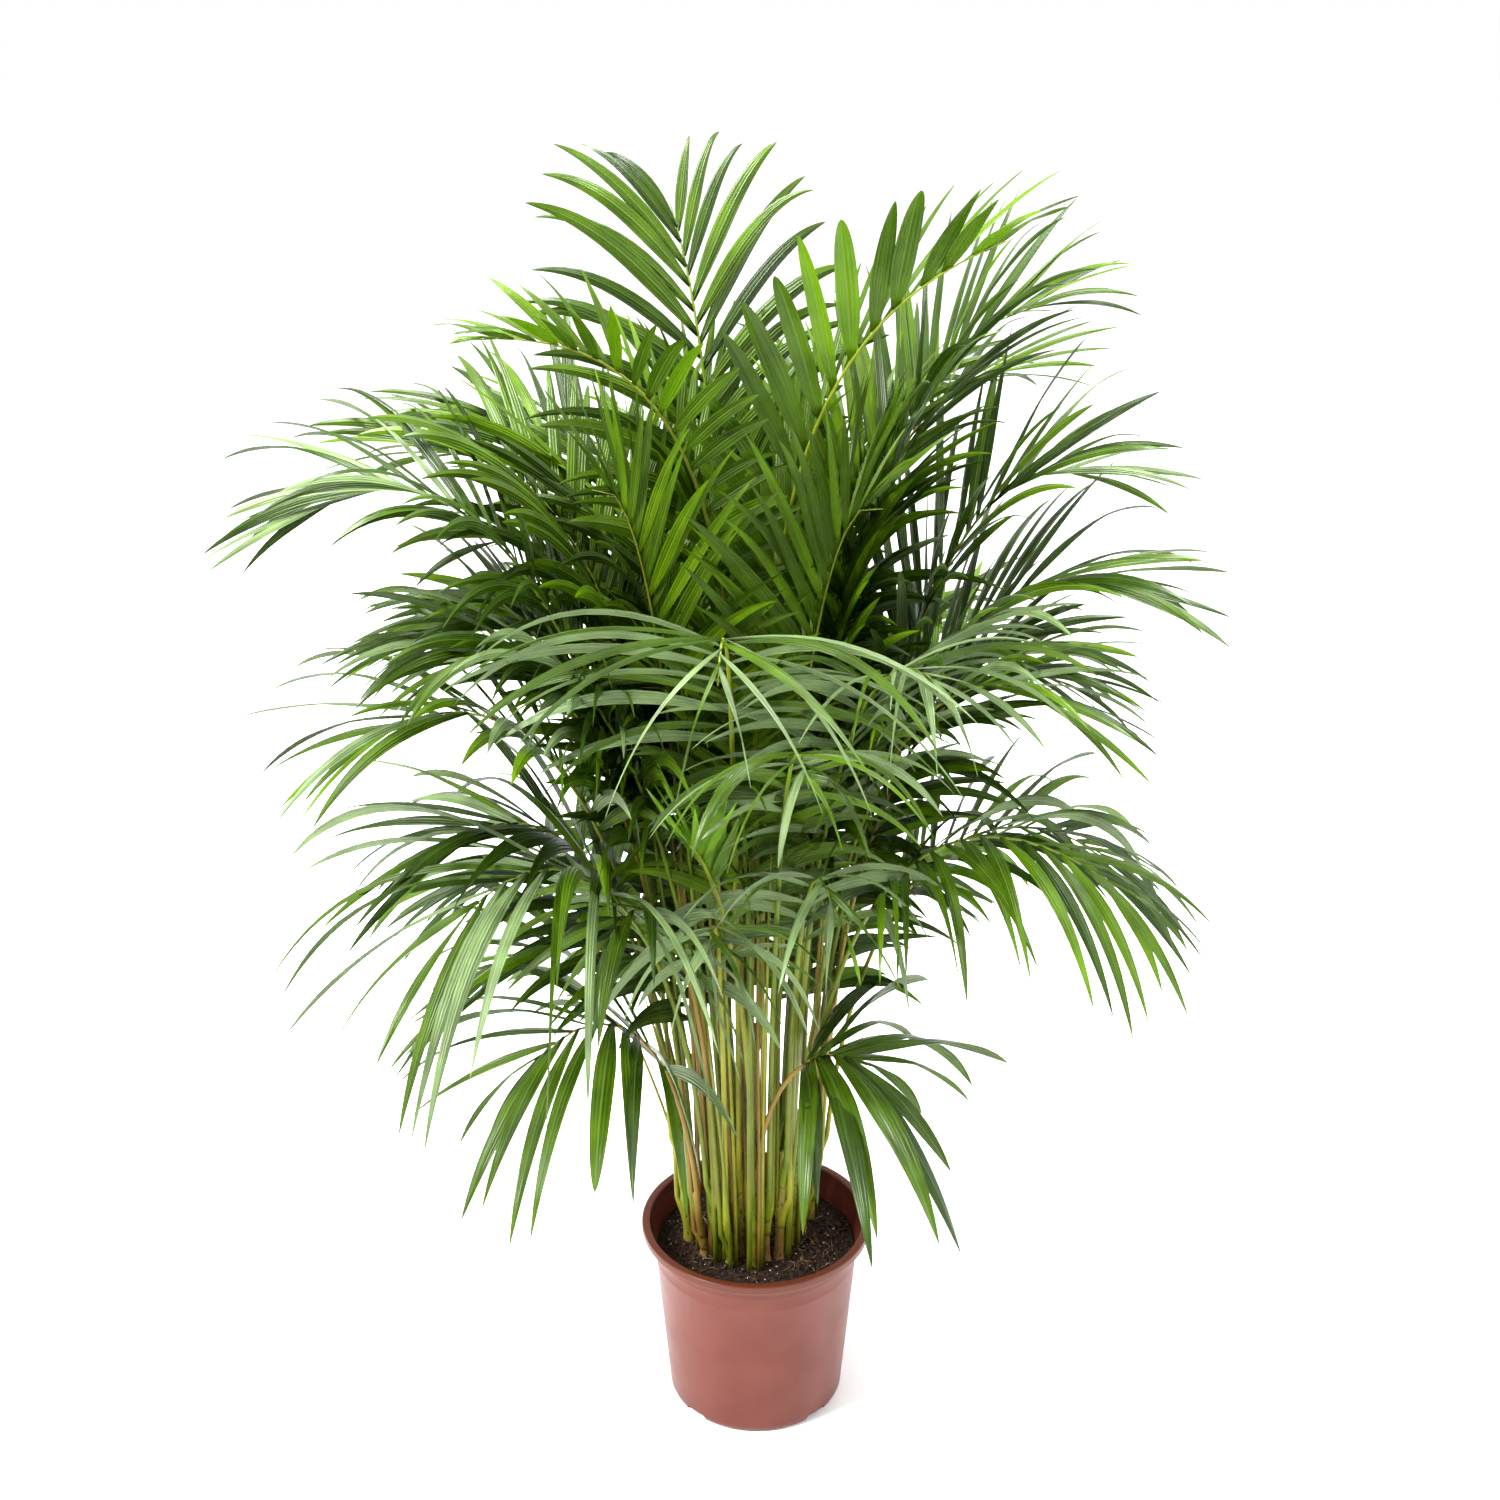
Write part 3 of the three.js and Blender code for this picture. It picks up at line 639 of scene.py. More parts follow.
def grow_canes(name, chosen):
    """Some of the canes, joined in one mesh."""
    shape = bmesh.new()
    for index in chosen:
        sweep(shape, cane_frames(canes[index], index), CANE_SIDES)
    return to_mesh(name, shape)


# %% Finish the canes
STEM_ROUGHNESS = 0.44
STEM_GLOSS = 0.28


def drift(tree, colour, lighter, patch, edge):
    """A colour that drifts in patches between itself and a lighter one."""
    return patches(tree, colour, [lighter * part for part in colour], patch, edge)


def cane_finish(name, low, high, speck, green):
    """Cane skin: one colour at the foot, another above, with dark specks that thin out upwards."""
    finish, tree, shader = start_finish(name, STEM_ROUGHNESS, STEM_GLOSS)
    rise = ramp(tree, height(tree), SOIL_TOP, SOIL_TOP + green)
    skin = drift(tree, low, 1.5, 70.0, 0.15)
    fresh = drift(tree, high, 1.35, 45.0, 0.2)
    body = mix_colours(tree, rise, skin, fresh)
    dots = ramp(tree, speckle(tree, 420.0, 2.0, stretch=(1, 1, 0.35)), 0.60, 0.68)
    thin = ramp(tree, height(tree), SOIL_TOP, SOIL_TOP + 2.2 * green, 0.9, 0.15)
    body = mix_colours(tree, calculate(tree, "MULTIPLY", dots, thin), body, opaque(*speck))
    coat(tree, shader, body, 600.0, 0.0002)
    return finish


# name: the canes, their colour at the foot and above, the specks, and how high the foot's colour goes
GREEN_CANES = [0, 2, 3, 5, 8, 10, 11, 14]
TAN_CANES = [1, 4, 6, 7, 9, 13]
OLD_CANES = [12]
CANE_KINDS = {
    "green_canes": (GREEN_CANES, (0.16, 0.14, 0.012), (0.15, 0.18, 0.012), (0.06, 0.025, 0.008), 0.05),
    "tan_canes": (TAN_CANES, (0.19, 0.105, 0.030), (0.19, 0.155, 0.020), (0.07, 0.025, 0.012), 0.09),
    "old_canes": (OLD_CANES, (0.15, 0.060, 0.030), (0.30, 0.13, 0.07), (0.05, 0.018, 0.010), 0.12),
}
for name, (chosen, *colours, rise) in CANE_KINDS.items():
    skin = cane_finish(f"skin_of_{name}", *colours, rise)
    add_piece(name, grow_canes(name, chosen), skin, [f"cane_{i + 1:02d}" for i in chosen])

# %% [markdown]
# ## The plan of the fronds
#
# Every frond is planned by a few numbers: its cane, where its tip hangs, how high and how far out
# it crests, how much of it is bare stalk, how long its leaflets are, how steeply they rise from
# the rib, and how much they droop. Three more give the looks: leaflet width, spacing and tint.
# The fronds that show from the front have a row each. The others stand in rings. A few small
# ones, too fine for the solids, fill the inside of the clump.

# %% Plan the fronds
# Far and low fronds get the darkest tint: older green with painted shade in its colour.
# name: cane, tip, crest, lead, bare, leaflet, stand, rise, droop, width, spacing, tint
FRONDS = {
    "crown": (13, (-70, 130, 1090), 965, 0, 0.61, 190, 50, 0, 0.7, 15, 17, "crown"),
    "front_high": (12, (175, -150, 1130), 1000, -0.15, 0.5, 150, 36, 60, 0.3, 17, 27, "front"),
    "left_high": (12, (-212, -100, 1044), 1032, -0.12, 0.55, 96, 64, 58, 0.4, 13, 17, "front"),
    "left_upper": (1, (-345, -40, 890), 985, 0.42, 0.48, 215, 55, 14, 0.6, 13, 13, "side"),
    "left_upper_near": (11, (-270, 100, 885), 935, 0.4, 0.5, 200, 50, 24, 0.6, 15, 15, "front"),
    "left_upper_far": (13, (-250, 200, 880), 940, 0.4, 0.5, 195, 50, 26, 0.5, 13, 13, "deep"),
    "left_middle": (0, (-305, -60, 705), 775, 0.4, 0.54, 225, 55, 16, 0.7, 13, 15, "leaf"),
    "left_middle_far": (11, (-265, 60, 735), 840, 0.4, 0.52, 190, 50, 20, 0.6, 12, 13, "deep"),
    # Some drooping fronds take the greyest tint, which is a painted sheen.
    "left_droop": (2, (-235, -150, 585), 680, 0.45, 0.56, 300, 62, 0, 1.2, 16, 17, "pale"),
    "left_lower": (0, (-260, -20, 580), 660, 0.42, 0.54, 205, 55, 12, 0.7, 15, 13, "deep"),
    "left_foot": (1, (-190, -100, 415), 492, 0.4, 0.5, 225, 65, 4, 1.1, 17, 13, "foot"),
    "left_foot_far": (11, (-250, 40, 410), 530, 0.45, 0.5, 185, 60, 14, 0.6, 12, 14, "deep"),
    "front_arch": (4, (-28, -300, 855), 930, 0.5, 0.66, 230, 78, 2, 1.3, 12, 17, "pale"),
    "front_middle": (6, (38, -240, 745), 800, 0.45, 0.72, 150, 75, 4, 1.8, 14, 17, "mixed"),
    "front_low": (3, (-38, -190, 570), 622, 0.45, 0.72, 130, 75, 0, 2, 16, 17, "pale"),
    "low_left": (2, (-125, -135, 545), 635, 0.45, 0.58, 160, 60, 8, 1.2, 14, 16, "mixed"),
    "low_right": (7, (62, -150, 585), 660, 0.45, 0.6, 150, 65, 8, 1.3, 13, 18, "mixed"),
    "front_shoot": (5, (-52, -160, 655), 610, 0.6, 0.8, 95, 36, 60, 0, 9, 6, "young"),
    "right_foot": (5, (88, -64, 394), 422, 0.5, 0.72, 215, 70, -6, 1.2, 22, 6, "foot"),
    "right_lower": (8, (290, -120, 596), 690, 0.38, 0.5, 205, 55, -6, 1.5, 13, 16, "leaf"),
    "right_lower_far": (10, (313, 60, 525), 640, 0.4, 0.52, 190, 55, 12, 0.8, 12, 14, "deep"),
    "right_near": (7, (140, -190, 800), 850, 0.42, 0.58, 190, 62, 8, 0.8, 11, 13, "pale"),
    "right_middle": (8, (240, -60, 730), 800, 0.4, 0.52, 200, 52, 16, 0.7, 11, 13, "leaf"),
    "right_middle_far": (9, (250, 60, 700), 760, 0.4, 0.52, 190, 52, 18, 0.7, 11, 13, "deep"),
    "right_broad": (9, (300, 20, 796), 860, 0.42, 0.52, 200, 50, 20, 0.6, 13, 14, "side"),
    "right_upper": (10, (275, 60, 880), 940, 0.42, 0.52, 200, 46, 28, 0.5, 12, 13, "side"),
    "right_upper_far": (14, (210, 180, 927), 980, 0.4, 0.52, 190, 46, 32, 0.5, 10, 12, "deep"),
    "right_high": (14, (236, 80, 1016), 1040, 0.4, 0.52, 195, 46, 34, 0.5, 11, 12, "deep"),
}

# %% Plan the rings
# name: count, first and last azimuth, reach, tip height, crest, leaflet, stand, rise, droop, looks
RINGS = {
    "heart": (4, 325, 560, 135, 880, 910, 190, 42, 50, 0.4, 12, 12, "heart"),
    "back_high": (3, 62, 122, 285, 870, 930, 200, 50, 24, 0.6, 12, 13, "leaf"),
    "back_middle": (4, 38, 142, 335, 655, 775, 200, 55, 20, 0.7, 13, 12, "deep"),
    "back_low": (3, 64, 150, 290, 425, 530, 190, 60, 12, 0.9, 13, 12, "deep"),
}
RING_BARE = 0.45

# Small fronds inside the clump, which fill it between the large ones: the same columns
INNER = {
    "inner_back": (4, 70, 165, 115, 440, 500, 135, 60, 8, 1.1, 13, 12, "deep"),
    "inner_left": (3, 168, 200, 245, 800, 865, 185, 50, 14, 0.9, 14, 14, "side"),
    "inner_high": (6, 20, 320, 105, 690, 730, 140, 55, 16, 0.9, 12, 13, "heart"),
}
INNER_BARE = 0.6
RING_LEAD = 0.4
REACH_SCATTER = 0.24
HEIGHT_SCATTER = 90
HOME_RADIUS = 42 * MM
CROWDING = 16 * MM


# %% Turn the rows into plans
class Plan:
    """What is known of one frond before it grows. Lengths come in millimetres and are kept in metres."""

    def __init__(self, name, cane, tip, crest, lead, bare, leaflet, stand, rise, droop, *looks):
        self.name, self.cane, self.lead, self.bare = name, cane, lead, bare
        self.tip = np.array(tip) * MM
        self.crest, self.leaflet = crest * MM, leaflet * MM
        self.stand, self.rise, self.droop = stand, rise, droop
        width, spacing, self.tint = looks
        self.width, self.spacing = width * MM, spacing * MM


def scatter(i, k):
    """A number from 0 to 1 that looks random but is the same in every run."""
    value = math.sin(i * 12.9898 + k * 78.233) * 43758.5453
    return value - math.floor(value)


def plan_rings(plans, rings, bare):
    """Adds the fronds of some rings, each on the nearest cane that has room."""
    load = [sum(plan.cane == i for plan in plans) for i in range(CANE_COUNT)]
    feet = np.array([cane.foot[:2] for cane in canes])
    for ring, (name, row) in enumerate(rings.items()):
        count, first, last, reach, tip_height, crest, *rest = row
        for i in range(count):
            turn = math.radians(first + (last - first) * i / (count - 1))
            way = np.array([math.cos(turn), math.sin(turn)])
            out = reach * (1 + REACH_SCATTER * (scatter(i, ring) - 0.5))
            lift = HEIGHT_SCATTER * (scatter(i, ring + 10) - 0.5)
            far = np.linalg.norm(feet - HOME_RADIUS * way, axis=1) + CROWDING * np.array(load)
            cane = int(far.argmin())
            load[cane] += 1
            tip = (*(out * way), tip_height + lift)
            plans.append(Plan(f"{name}_{i + 1}", cane, tip, crest + lift, RING_LEAD, bare, *rest))


plans = [Plan(name, *row) for name, row in FRONDS.items()]
plan_rings(plans, RINGS, RING_BARE)
for plan in plans:
    plan.node = f"frond_{plan.name}"
outer_count = len(plans)
plan_rings(plans, INNER, INNER_BARE)
for plan in plans[outer_count:]:
    plan.node = next(other.node for other in plans if other.cane == plan.cane)
print("fronds:", outer_count, "and", len(plans) - outer_count, "small ones inside")

# %% [markdown]
# ## Ribs
#
# A rib is one smooth curve: up beside its cane, out to its crest and down to its tip. Four points
# set it, and the foot is measured on the solid. Some ribs sway aside to clear their neighbours, so
# each allowed sway is tried, and the one whose curve runs through the solid's corners is kept.

# %% Trace the ribs
SHEATH_TOP = 0.94
SHEATH_STEP = 0.19
RISE = 0.55
LEAN = 0.06
SWAY_LOW = 0.5
SWAYS = [sway * MM for sway in (0, 10, -10, 20, -20, 32, -32, 45, -45, 60, -60)]
STALK_STATIONS = 6
ROOT_WIDTH = 7 * MM
PETIOLE_RADIUS = 3 * MM
RIB_TIP_RADIUS = 1.5 * MM
LOWEST_SEAT = 0.2
CURVE_STEPS = 200
UP = np.array([0.0, 0.0, 1.0])


def unit(way):
    """The direction of a vector."""
    return way / np.linalg.norm(way)


class Rib:
    """A curve from foot to tip that can be read at any share of its length."""

    def __init__(self, plan, foot, sway):
        run = np.array([plan.tip[0] - foot[0], plan.tip[1] - foot[1], 0])
        aside = unit(np.array([-run[1], run[0], 0])) * sway
        first = foot + LEAN * run + SWAY_LOW * aside
        first[2] = foot[2] + RISE * (plan.crest - foot[2])
        second = foot + plan.lead * run + aside
        second[2] = plan.crest
        t = np.linspace(0, 1, CURVE_STEPS + 1)[:, None]
        bends = [(1 - t) ** 3 * foot, 3 * (1 - t) ** 2 * t * first, 3 * (1 - t) * t**2 * second]
        self.points = sum(bends) + t**3 * plan.tip
        steps = np.linalg.norm(np.diff(self.points, axis=0), axis=1)
        self.length = steps.sum()
        self.shares = np.concatenate([[0], np.cumsum(steps)]) / self.length
        heading = math.atan2(run[1], run[0])
        self.across = np.array([-math.sin(heading), math.cos(heading), 0])

    def at(self, share):
        return np.array([np.interp(share, self.shares, self.points[:, k]) for k in range(3)])

    def ahead(self, share):
        return unit(self.at(min(1, share + 0.002)) - self.at(max(0, share - 0.002)))

    def up(self, share):
        return unit(np.cross(self.ahead(share), self.across))


# %% Find each rib on its solid
SEAT_REACH = 15 * MM


def find_rib(plan, share):
    """The rib of a plan, seated and swayed as its solid is."""
    corners = corners_of(plan.node)
    seat = canes[plan.cane].at(share)
    foot = corners[np.linalg.norm(corners - seat, axis=1) < SEAT_REACH].mean(axis=0)
    best = None
    for sway in SWAYS:
        rib = Rib(plan, foot, sway)
        miss = 0.0
        for i in range(1, STALK_STATIONS):
            along = (plan.bare - ROOT_WIDTH / rib.length) * i / STALK_STATIONS
            radius = PETIOLE_RADIUS + (RIB_TIP_RADIUS - PETIOLE_RADIUS) * along
            miss += abs(np.linalg.norm(corners - rib.at(along), axis=1).min() - radius)
        if best is None or miss < best[0]:
            best = (miss, rib)
    return best


def free_rib(plan, share):
    """The rib of a small frond, which has no solid of its own, seated on its cane's near side."""
    cane = canes[plan.cane]
    seat = cane.at(share)
    way = unit((plan.tip - seat) * (1, 1, 0))
    return Rib(plan, seat + (cane.radius + PETIOLE_RADIUS) * way, 0.0)


used = [0] * CANE_COUNT
worst = 0.0
for plan in plans[:outer_count]:
    plan.share = SHEATH_TOP - SHEATH_STEP * used[plan.cane]
    used[plan.cane] += 1
    miss, plan.rib = find_rib(plan, plan.share)
    worst = max(worst, miss / STALK_STATIONS)
for plan in plans[outer_count:]:
    plan.share = max(LOWEST_SEAT, SHEATH_TOP - SHEATH_STEP * used[plan.cane])
    used[plan.cane] += 1
    plan.rib = free_rib(plan, plan.share)
print("ribs traced, worst miss in millimetres:", round(worst / MM, 3))

# %% [markdown]
# ## Stalks and ribs
#
# A stalk starts as a sheath that wraps its cane, draws together at its foot, and then thins out to
# the frond's tip. The same sweep makes it. Its first few stations circle the cane below the foot.

# %% Model the stalks
STALK_SIDES = 10
STALK_STATION = 22 * MM
SHEATH_LENGTH = 34 * MM
SHEATH_STATIONS = 6
STALK_FOOT = 2.8 * MM
STALK_WAIST = 2.0 * MM
STALK_TIP = 0.55 * MM


def stalk_radius(share, bare):
    """Half a stalk's width: slimmer towards the first leaflets, then thinning to its tip."""
    if share < bare:
        return STALK_FOOT + (STALK_WAIST - STALK_FOOT) * share / bare
    return STALK_TIP + (STALK_WAIST - STALK_TIP) * ((1 - share) / (1 - bare)) ** 0.8


def sheath_frames(plan):
    """Stations round the cane below a stalk's foot, which draw together towards the stalk."""
    cane = canes[plan.cane]
    foot = plan.rib.points[0]
    across = plan.rib.across
    frames = []
    for i in range(SHEATH_STATIONS):
        rise = i / SHEATH_STATIONS
        drop = min(SHEATH_LENGTH, cane.height * plan.share * 0.8) * (1 - rise)
        share = plan.share - drop / cane.height
        around = cane.radius * (1 - CANE_TAPER * share) + 0.5 * MM
        near = rise**2.2
        centre = cane.at(share) * (1 - near) + (foot - drop * UP) * near
        width = around * (1 - near) + STALK_FOOT * 1.15 * near
        frames.append(frame_of(centre, across, np.cross(UP, across), width, width))
    return frames


def stalk_frames(plan):
    """Stations from the foot of a stalk to the tip of its rib."""
    rib = plan.rib
    count = int(rib.length / STALK_STATION)
    frames = sheath_frames(plan)
    for i in range(count + 1):
        share = i / count
        radius = stalk_radius(share, plan.bare)
        up = rib.up(share)
        frames.append(frame_of(rib.at(share), rib.across, up, radius, radius * 0.88))
    return frames


# %% [markdown]
# Thin young shoots stand between the canes. Each is a leaf that is still rolled up on its stalk, so
# it is a slim rod that leans out a little and ends in a long point among the leaves.

# %% Model the young shoots
SHOOT_COUNT = 52
SHOOT_STATIONS = 16
SHOOT_HEIGHTS = (230 * MM, 600 * MM)
SHOOT_RADII = (1.5 * MM, 2.6 * MM)
SHOOT_LEAN = 0.9
SHOOT_CLEARANCE = (2.5 * MM, 7.0 * MM)
SHOOT_STRAY = 8 * MM


def shoot_frames(index):
    """Stations up one young shoot, from just under the soil to its point."""
    cane = canes[index % CANE_COUNT]
    turn = rng.uniform(0, 2 * math.pi)
    beside = cane.radius + rng.uniform(*SHOOT_CLEARANCE)
    beside = beside * np.array([math.cos(turn), math.sin(turn), 0])
    foot = cane.foot + beside - SUNK * UP
    tall = rng.uniform(*SHOOT_HEIGHTS)
    radius = rng.uniform(*SHOOT_RADII)
    out = (SHOOT_LEAN * foot + rng.normal(0, SHOOT_STRAY, 3)) * (1, 1, 0)
    frames = []
    for i in range(SHOOT_STATIONS + 1):
        t = i / SHOOT_STATIONS
        centre = foot + out * t**1.5 + tall * t * UP
        slim = radius * (1 - 0.45 * t) * min(1.0, (1.03 - t) * 5)
        frames.append(frame_of(centre, (1, 0, 0), (0, 1, 0), slim, slim))
    return frames


def grow_stalks(name, chosen, shoots):
    """The stalks of some fronds and some of the young shoots, joined in one mesh."""
    shape = bmesh.new()
    for plan in chosen:
        sweep(shape, stalk_frames(plan), STALK_SIDES)
    for index in shoots:
        sweep(shape, shoot_frames(index), STALK_SIDES)
    return to_mesh(name, shape)


# %% Finish the stalks
def stalk_finish(name, low, high):
    """Stalk skin: yellow-green near the soil and greener above, with a soft sheen."""
    finish, tree, shader = start_finish(name, STEM_ROUGHNESS, STEM_GLOSS)
    rise = ramp(tree, height(tree), 0.30, 0.75)
    below = drift(tree, low, 1.5, 24.0, 0.2)
    above = drift(tree, high, 1.4, 24.0, 0.2)
    coat(tree, shader, mix_colours(tree, rise, below, above), 500.0, 0.00012)
    return finish


STALK_TINTS = {
    "green": ((0.090, 0.118, 0.004), (0.080, 0.130, 0.005)),
    "yellow": ((0.160, 0.160, 0.007), (0.120, 0.155, 0.006)),
    "tan": ((0.155, 0.092, 0.014), (0.118, 0.132, 0.008)),
}
TINT_ORDER = ["green", "yellow", "tan", "green", "yellow", "green", "yellow", "tan"]
for tint, (low, high) in STALK_TINTS.items():
    chosen = [plan for i, plan in enumerate(plans) if TINT_ORDER[i % len(TINT_ORDER)] == tint]
    shoots = [i for i in range(SHOOT_COUNT) if TINT_ORDER[i % len(TINT_ORDER)] == tint]
    stalks = grow_stalks(f"stalks_{tint}", chosen, shoots)
    skin = stalk_finish(f"stalk_{tint}", low, high)
    add_piece(f"stalks_{tint}", stalks, skin, sorted({plan.node for plan in chosen}))

# %% [markdown]
# ## Leaflets
#
# A leaflet is a long narrow blade, folded along its midrib like a low roof. It leaves the rib at an
# angle, widest before its middle, and bends down under its own weight towards a fine point. With so
# many of them, each is worked out as an array: points along the blade, and at each a left margin, a
# ridge, a right margin and a keel. The blades of one tint are joined in one mesh.

# %% Shape one leaflet
LAST_PAIR = 0.975
TIP_ANGLE = 18
ANGLE_FADE = 2.5
RISE_LOSS = 0.4
TIP_LOSS = 0.5
TIP_FADE = 7
ROOT_LOSS = 0.25
ROOT_FADE = 4
DROOP_POWER = 1.6
BLADE_STEPS = 14
TIP_CROWDING = 1.4
BLADE_THICKNESS = 0.45 * MM
FOLD = 0.30
ROOT_SHARE = 0.28
BROADEST = 0.42
BROAD = (11 * MM, 17 * MM)
STIFF = (0.6, 0.9)
LANES = 4


def blade_width(t, width, droop):
    """How wide a blade is along its length. Most end in a fine point, broad stiff ones bluntly."""
    opening = ROOT_SHARE + (1 - ROOT_SHARE) * np.sin(np.minimum(1, t / BROADEST) * math.pi / 2)
    blunt = float(np.interp(width, BROAD, (0, 1)) * np.interp(droop, STIFF, (1, 0)))
    return width * opening * (1 - t ** (2.6 + 2.6 * blunt)) ** (0.9 - 0.3 * blunt)


def shape_blade(root, start, ahead, side, length, width, droop, roll):
    """The corners of one blade: a ring of four at each step, and its tip."""
    t = 1 - (1 - np.linspace(0, 1, BLADE_STEPS + 1)) ** TIP_CROWDING
    middle = (t[1:] + t[:-1]) / 2
    steps = length * np.diff(t)[:, None]
    heading = start - np.outer(droop * middle**DROOP_POWER, UP)
    heading /= np.linalg.norm(heading, axis=1)[:, None]
    points = root + np.vstack([np.zeros(3), np.cumsum(heading * steps, axis=0)])
    heading = np.vstack([heading, heading[-1:]])
    broad = ahead - heading * (heading @ ahead)[:, None]
    broad /= np.linalg.norm(broad, axis=1)[:, None]
    face = np.cross(broad, heading) * side
    turn = (roll[0] + roll[1] * t)[:, None]
    broad, face = broad * np.cos(turn) + face * np.sin(turn), face * np.cos(turn) - broad * np.sin(turn)
    half = (blade_width(t, width, droop) / 2)[:, None]
    ridge = face * FOLD * half
    body = face * BLADE_THICKNESS / 2
    left, right = points - broad * half, points + broad * half
    rings = np.stack([left, points + ridge + body, right, points + ridge - body])
    return np.vstack([rings[:, :-1].transpose(1, 0, 2).reshape(-1, 3), points[-1:]])


# %% Choose the tints and how far blades stray
# spray: the tints of its blades, each as often as it is named
SPRAY = {
    # The darkest tint is older green with painted shade in its colour.
    "deep": ["deep"] * 4 + ["leaf", "bright"],
    "leaf": ["leaf"] * 3 + ["deep", "bright", "pale"],
    # The greyest tint is a painted sheen.
    "pale": ["pale"] * 3 + ["leaf"],
    "young": ["young"],
    "mixed": ["leaf", "pale", "deep", "leaf", "pale", "bright"],
    # The heart and front fronds mix in blades with a painted sunlit glow.
    "heart": ["bright", "leaf", "leaf", "leaf", "bright", "leaf"],
    "front": ["leaf", "leaf", "bright", "leaf", "leaf"],
    "foot": ["leaf", "deep", "leaf"],
    "crown": ["leaf"] * 3 + ["deep"],
    "side": ["deep", "leaf", "deep", "leaf", "deep", "pale"],
}

# How much the blades of a spray stray from their row: least on the stiff upright fronds
STRAY = {"crown": 0.5, "front": 0.5, "heart": 0.8}
OUT_STRAY = 4.5
RISE_STRAY = 8
DROOP_STRAY = (-0.4, 0.6)
ROLL_STRAY = (0.18, 0.5)
SLOT_STRAY = 0.12
SIDE_SHIFT = 0.25
LENGTHS = (0.88, 1.04)
WIDTHS = (0.85, 1.1)
TIP_SLIM = 0.3


# %% Grow the leaflets of a frond
def grow_leaflets(plan):
    """The blades of one frond, pair by pair from its first leaflets to its tip."""
    rib = plan.rib
    stray = STRAY.get(plan.tint, 1.0)
    pairs = max(5, int(rib.length * (LAST_PAIR - plan.bare) / plan.spacing))
    grown = []
    for pair in range(pairs):
        for side in (-1, 1):
            slot = pair + SIDE_SHIFT * side + rng.uniform(-SLOT_STRAY, SLOT_STRAY)
            q = min(1.0, max(0.0, slot / (pairs - 1)))
            share = plan.bare + (LAST_PAIR - plan.bare) * q
            ahead, up = rib.ahead(share), rib.up(share)
            out = plan.stand + (TIP_ANGLE - plan.stand) * q**ANGLE_FADE + stray * rng.normal(0, OUT_STRAY)
            rise = plan.rise * (1 - RISE_LOSS * q) + stray * rng.normal(0, RISE_STRAY)
            out, rise = math.radians(out), math.radians(rise)
            start = math.cos(out) * ahead + side * math.sin(out) * math.cos(rise) * rib.across
            start = start + math.sin(out) * math.sin(rise) * up
            fade = (1 - TIP_LOSS * q**TIP_FADE) * (1 - ROOT_LOSS * (1 - q) ** ROOT_FADE)
            length = plan.leaflet * fade * rng.uniform(*LENGTHS)
            width = plan.width * rng.uniform(*WIDTHS) * (1 - TIP_SLIM * q**6)
            droop = plan.droop * (1 + stray * rng.uniform(*DROOP_STRAY))
            roll = [stray * rng.normal(0, turn) for turn in ROLL_STRAY]
            tint = rng.choice(SPRAY[plan.tint])
            blade = shape_blade(rib.at(share), start, ahead, side, length, width, droop, roll)
            grown.append((tint, blade))
    return grown


# %% Join blades in one mesh
def join_blades(name, blades):
    """One mesh of many blades, with a map that runs across and along each."""
    faces = [(3, 2, 1, 0)]
    for step in range(BLADE_STEPS - 1):
        for lane in range(LANES):
            a, b = step * LANES + lane, step * LANES + (lane + 1) % LANES
            faces.append((a, b, b + LANES, a + LANES))
    last = (BLADE_STEPS - 1) * LANES
    faces += [(last + lane, last + (lane + 1) % LANES, last + LANES) for lane in range(LANES)]
    size = BLADE_STEPS * LANES + 1
    corners = np.vstack(blades)
    mesh = bpy.data.meshes.new("blades")
    all_faces = [tuple(v + size * i for v in face) for i in range(len(blades)) for face in faces]
    mesh.from_pydata(corners.tolist(), [], all_faces)
    rank = np.arange(len(corners)) % size
    lane_of, step_of, is_tip = rank % LANES, rank // LANES, rank == size - 1
    across = np.where(is_tip, 0.5, np.array([0, 0.5, 1, 0.5])[lane_of])
    layer = mesh.uv_layers.new(name="blade")
    used_by = np.array([loop.vertex_index for loop in mesh.loops])
    places = np.stack([across[used_by], step_of[used_by] / BLADE_STEPS], axis=1)
    layer.data.foreach_set("uv", places.astype(np.float32).ravel())
    ends = np.array([edge.vertices[:] for edge in mesh.edges])
    lengthwise = (lane_of[ends[:, 0]] == lane_of[ends[:, 1]]) | is_tip[ends].any(axis=1)
    sharp = mesh.attributes.new("sharp_edge", "BOOLEAN", "EDGE")
    sharp.data.foreach_set("value", lengthwise)
    shape = bmesh.new()
    shape.from_mesh(mesh)
    bpy.data.meshes.remove(mesh)
    return to_mesh(name, shape)
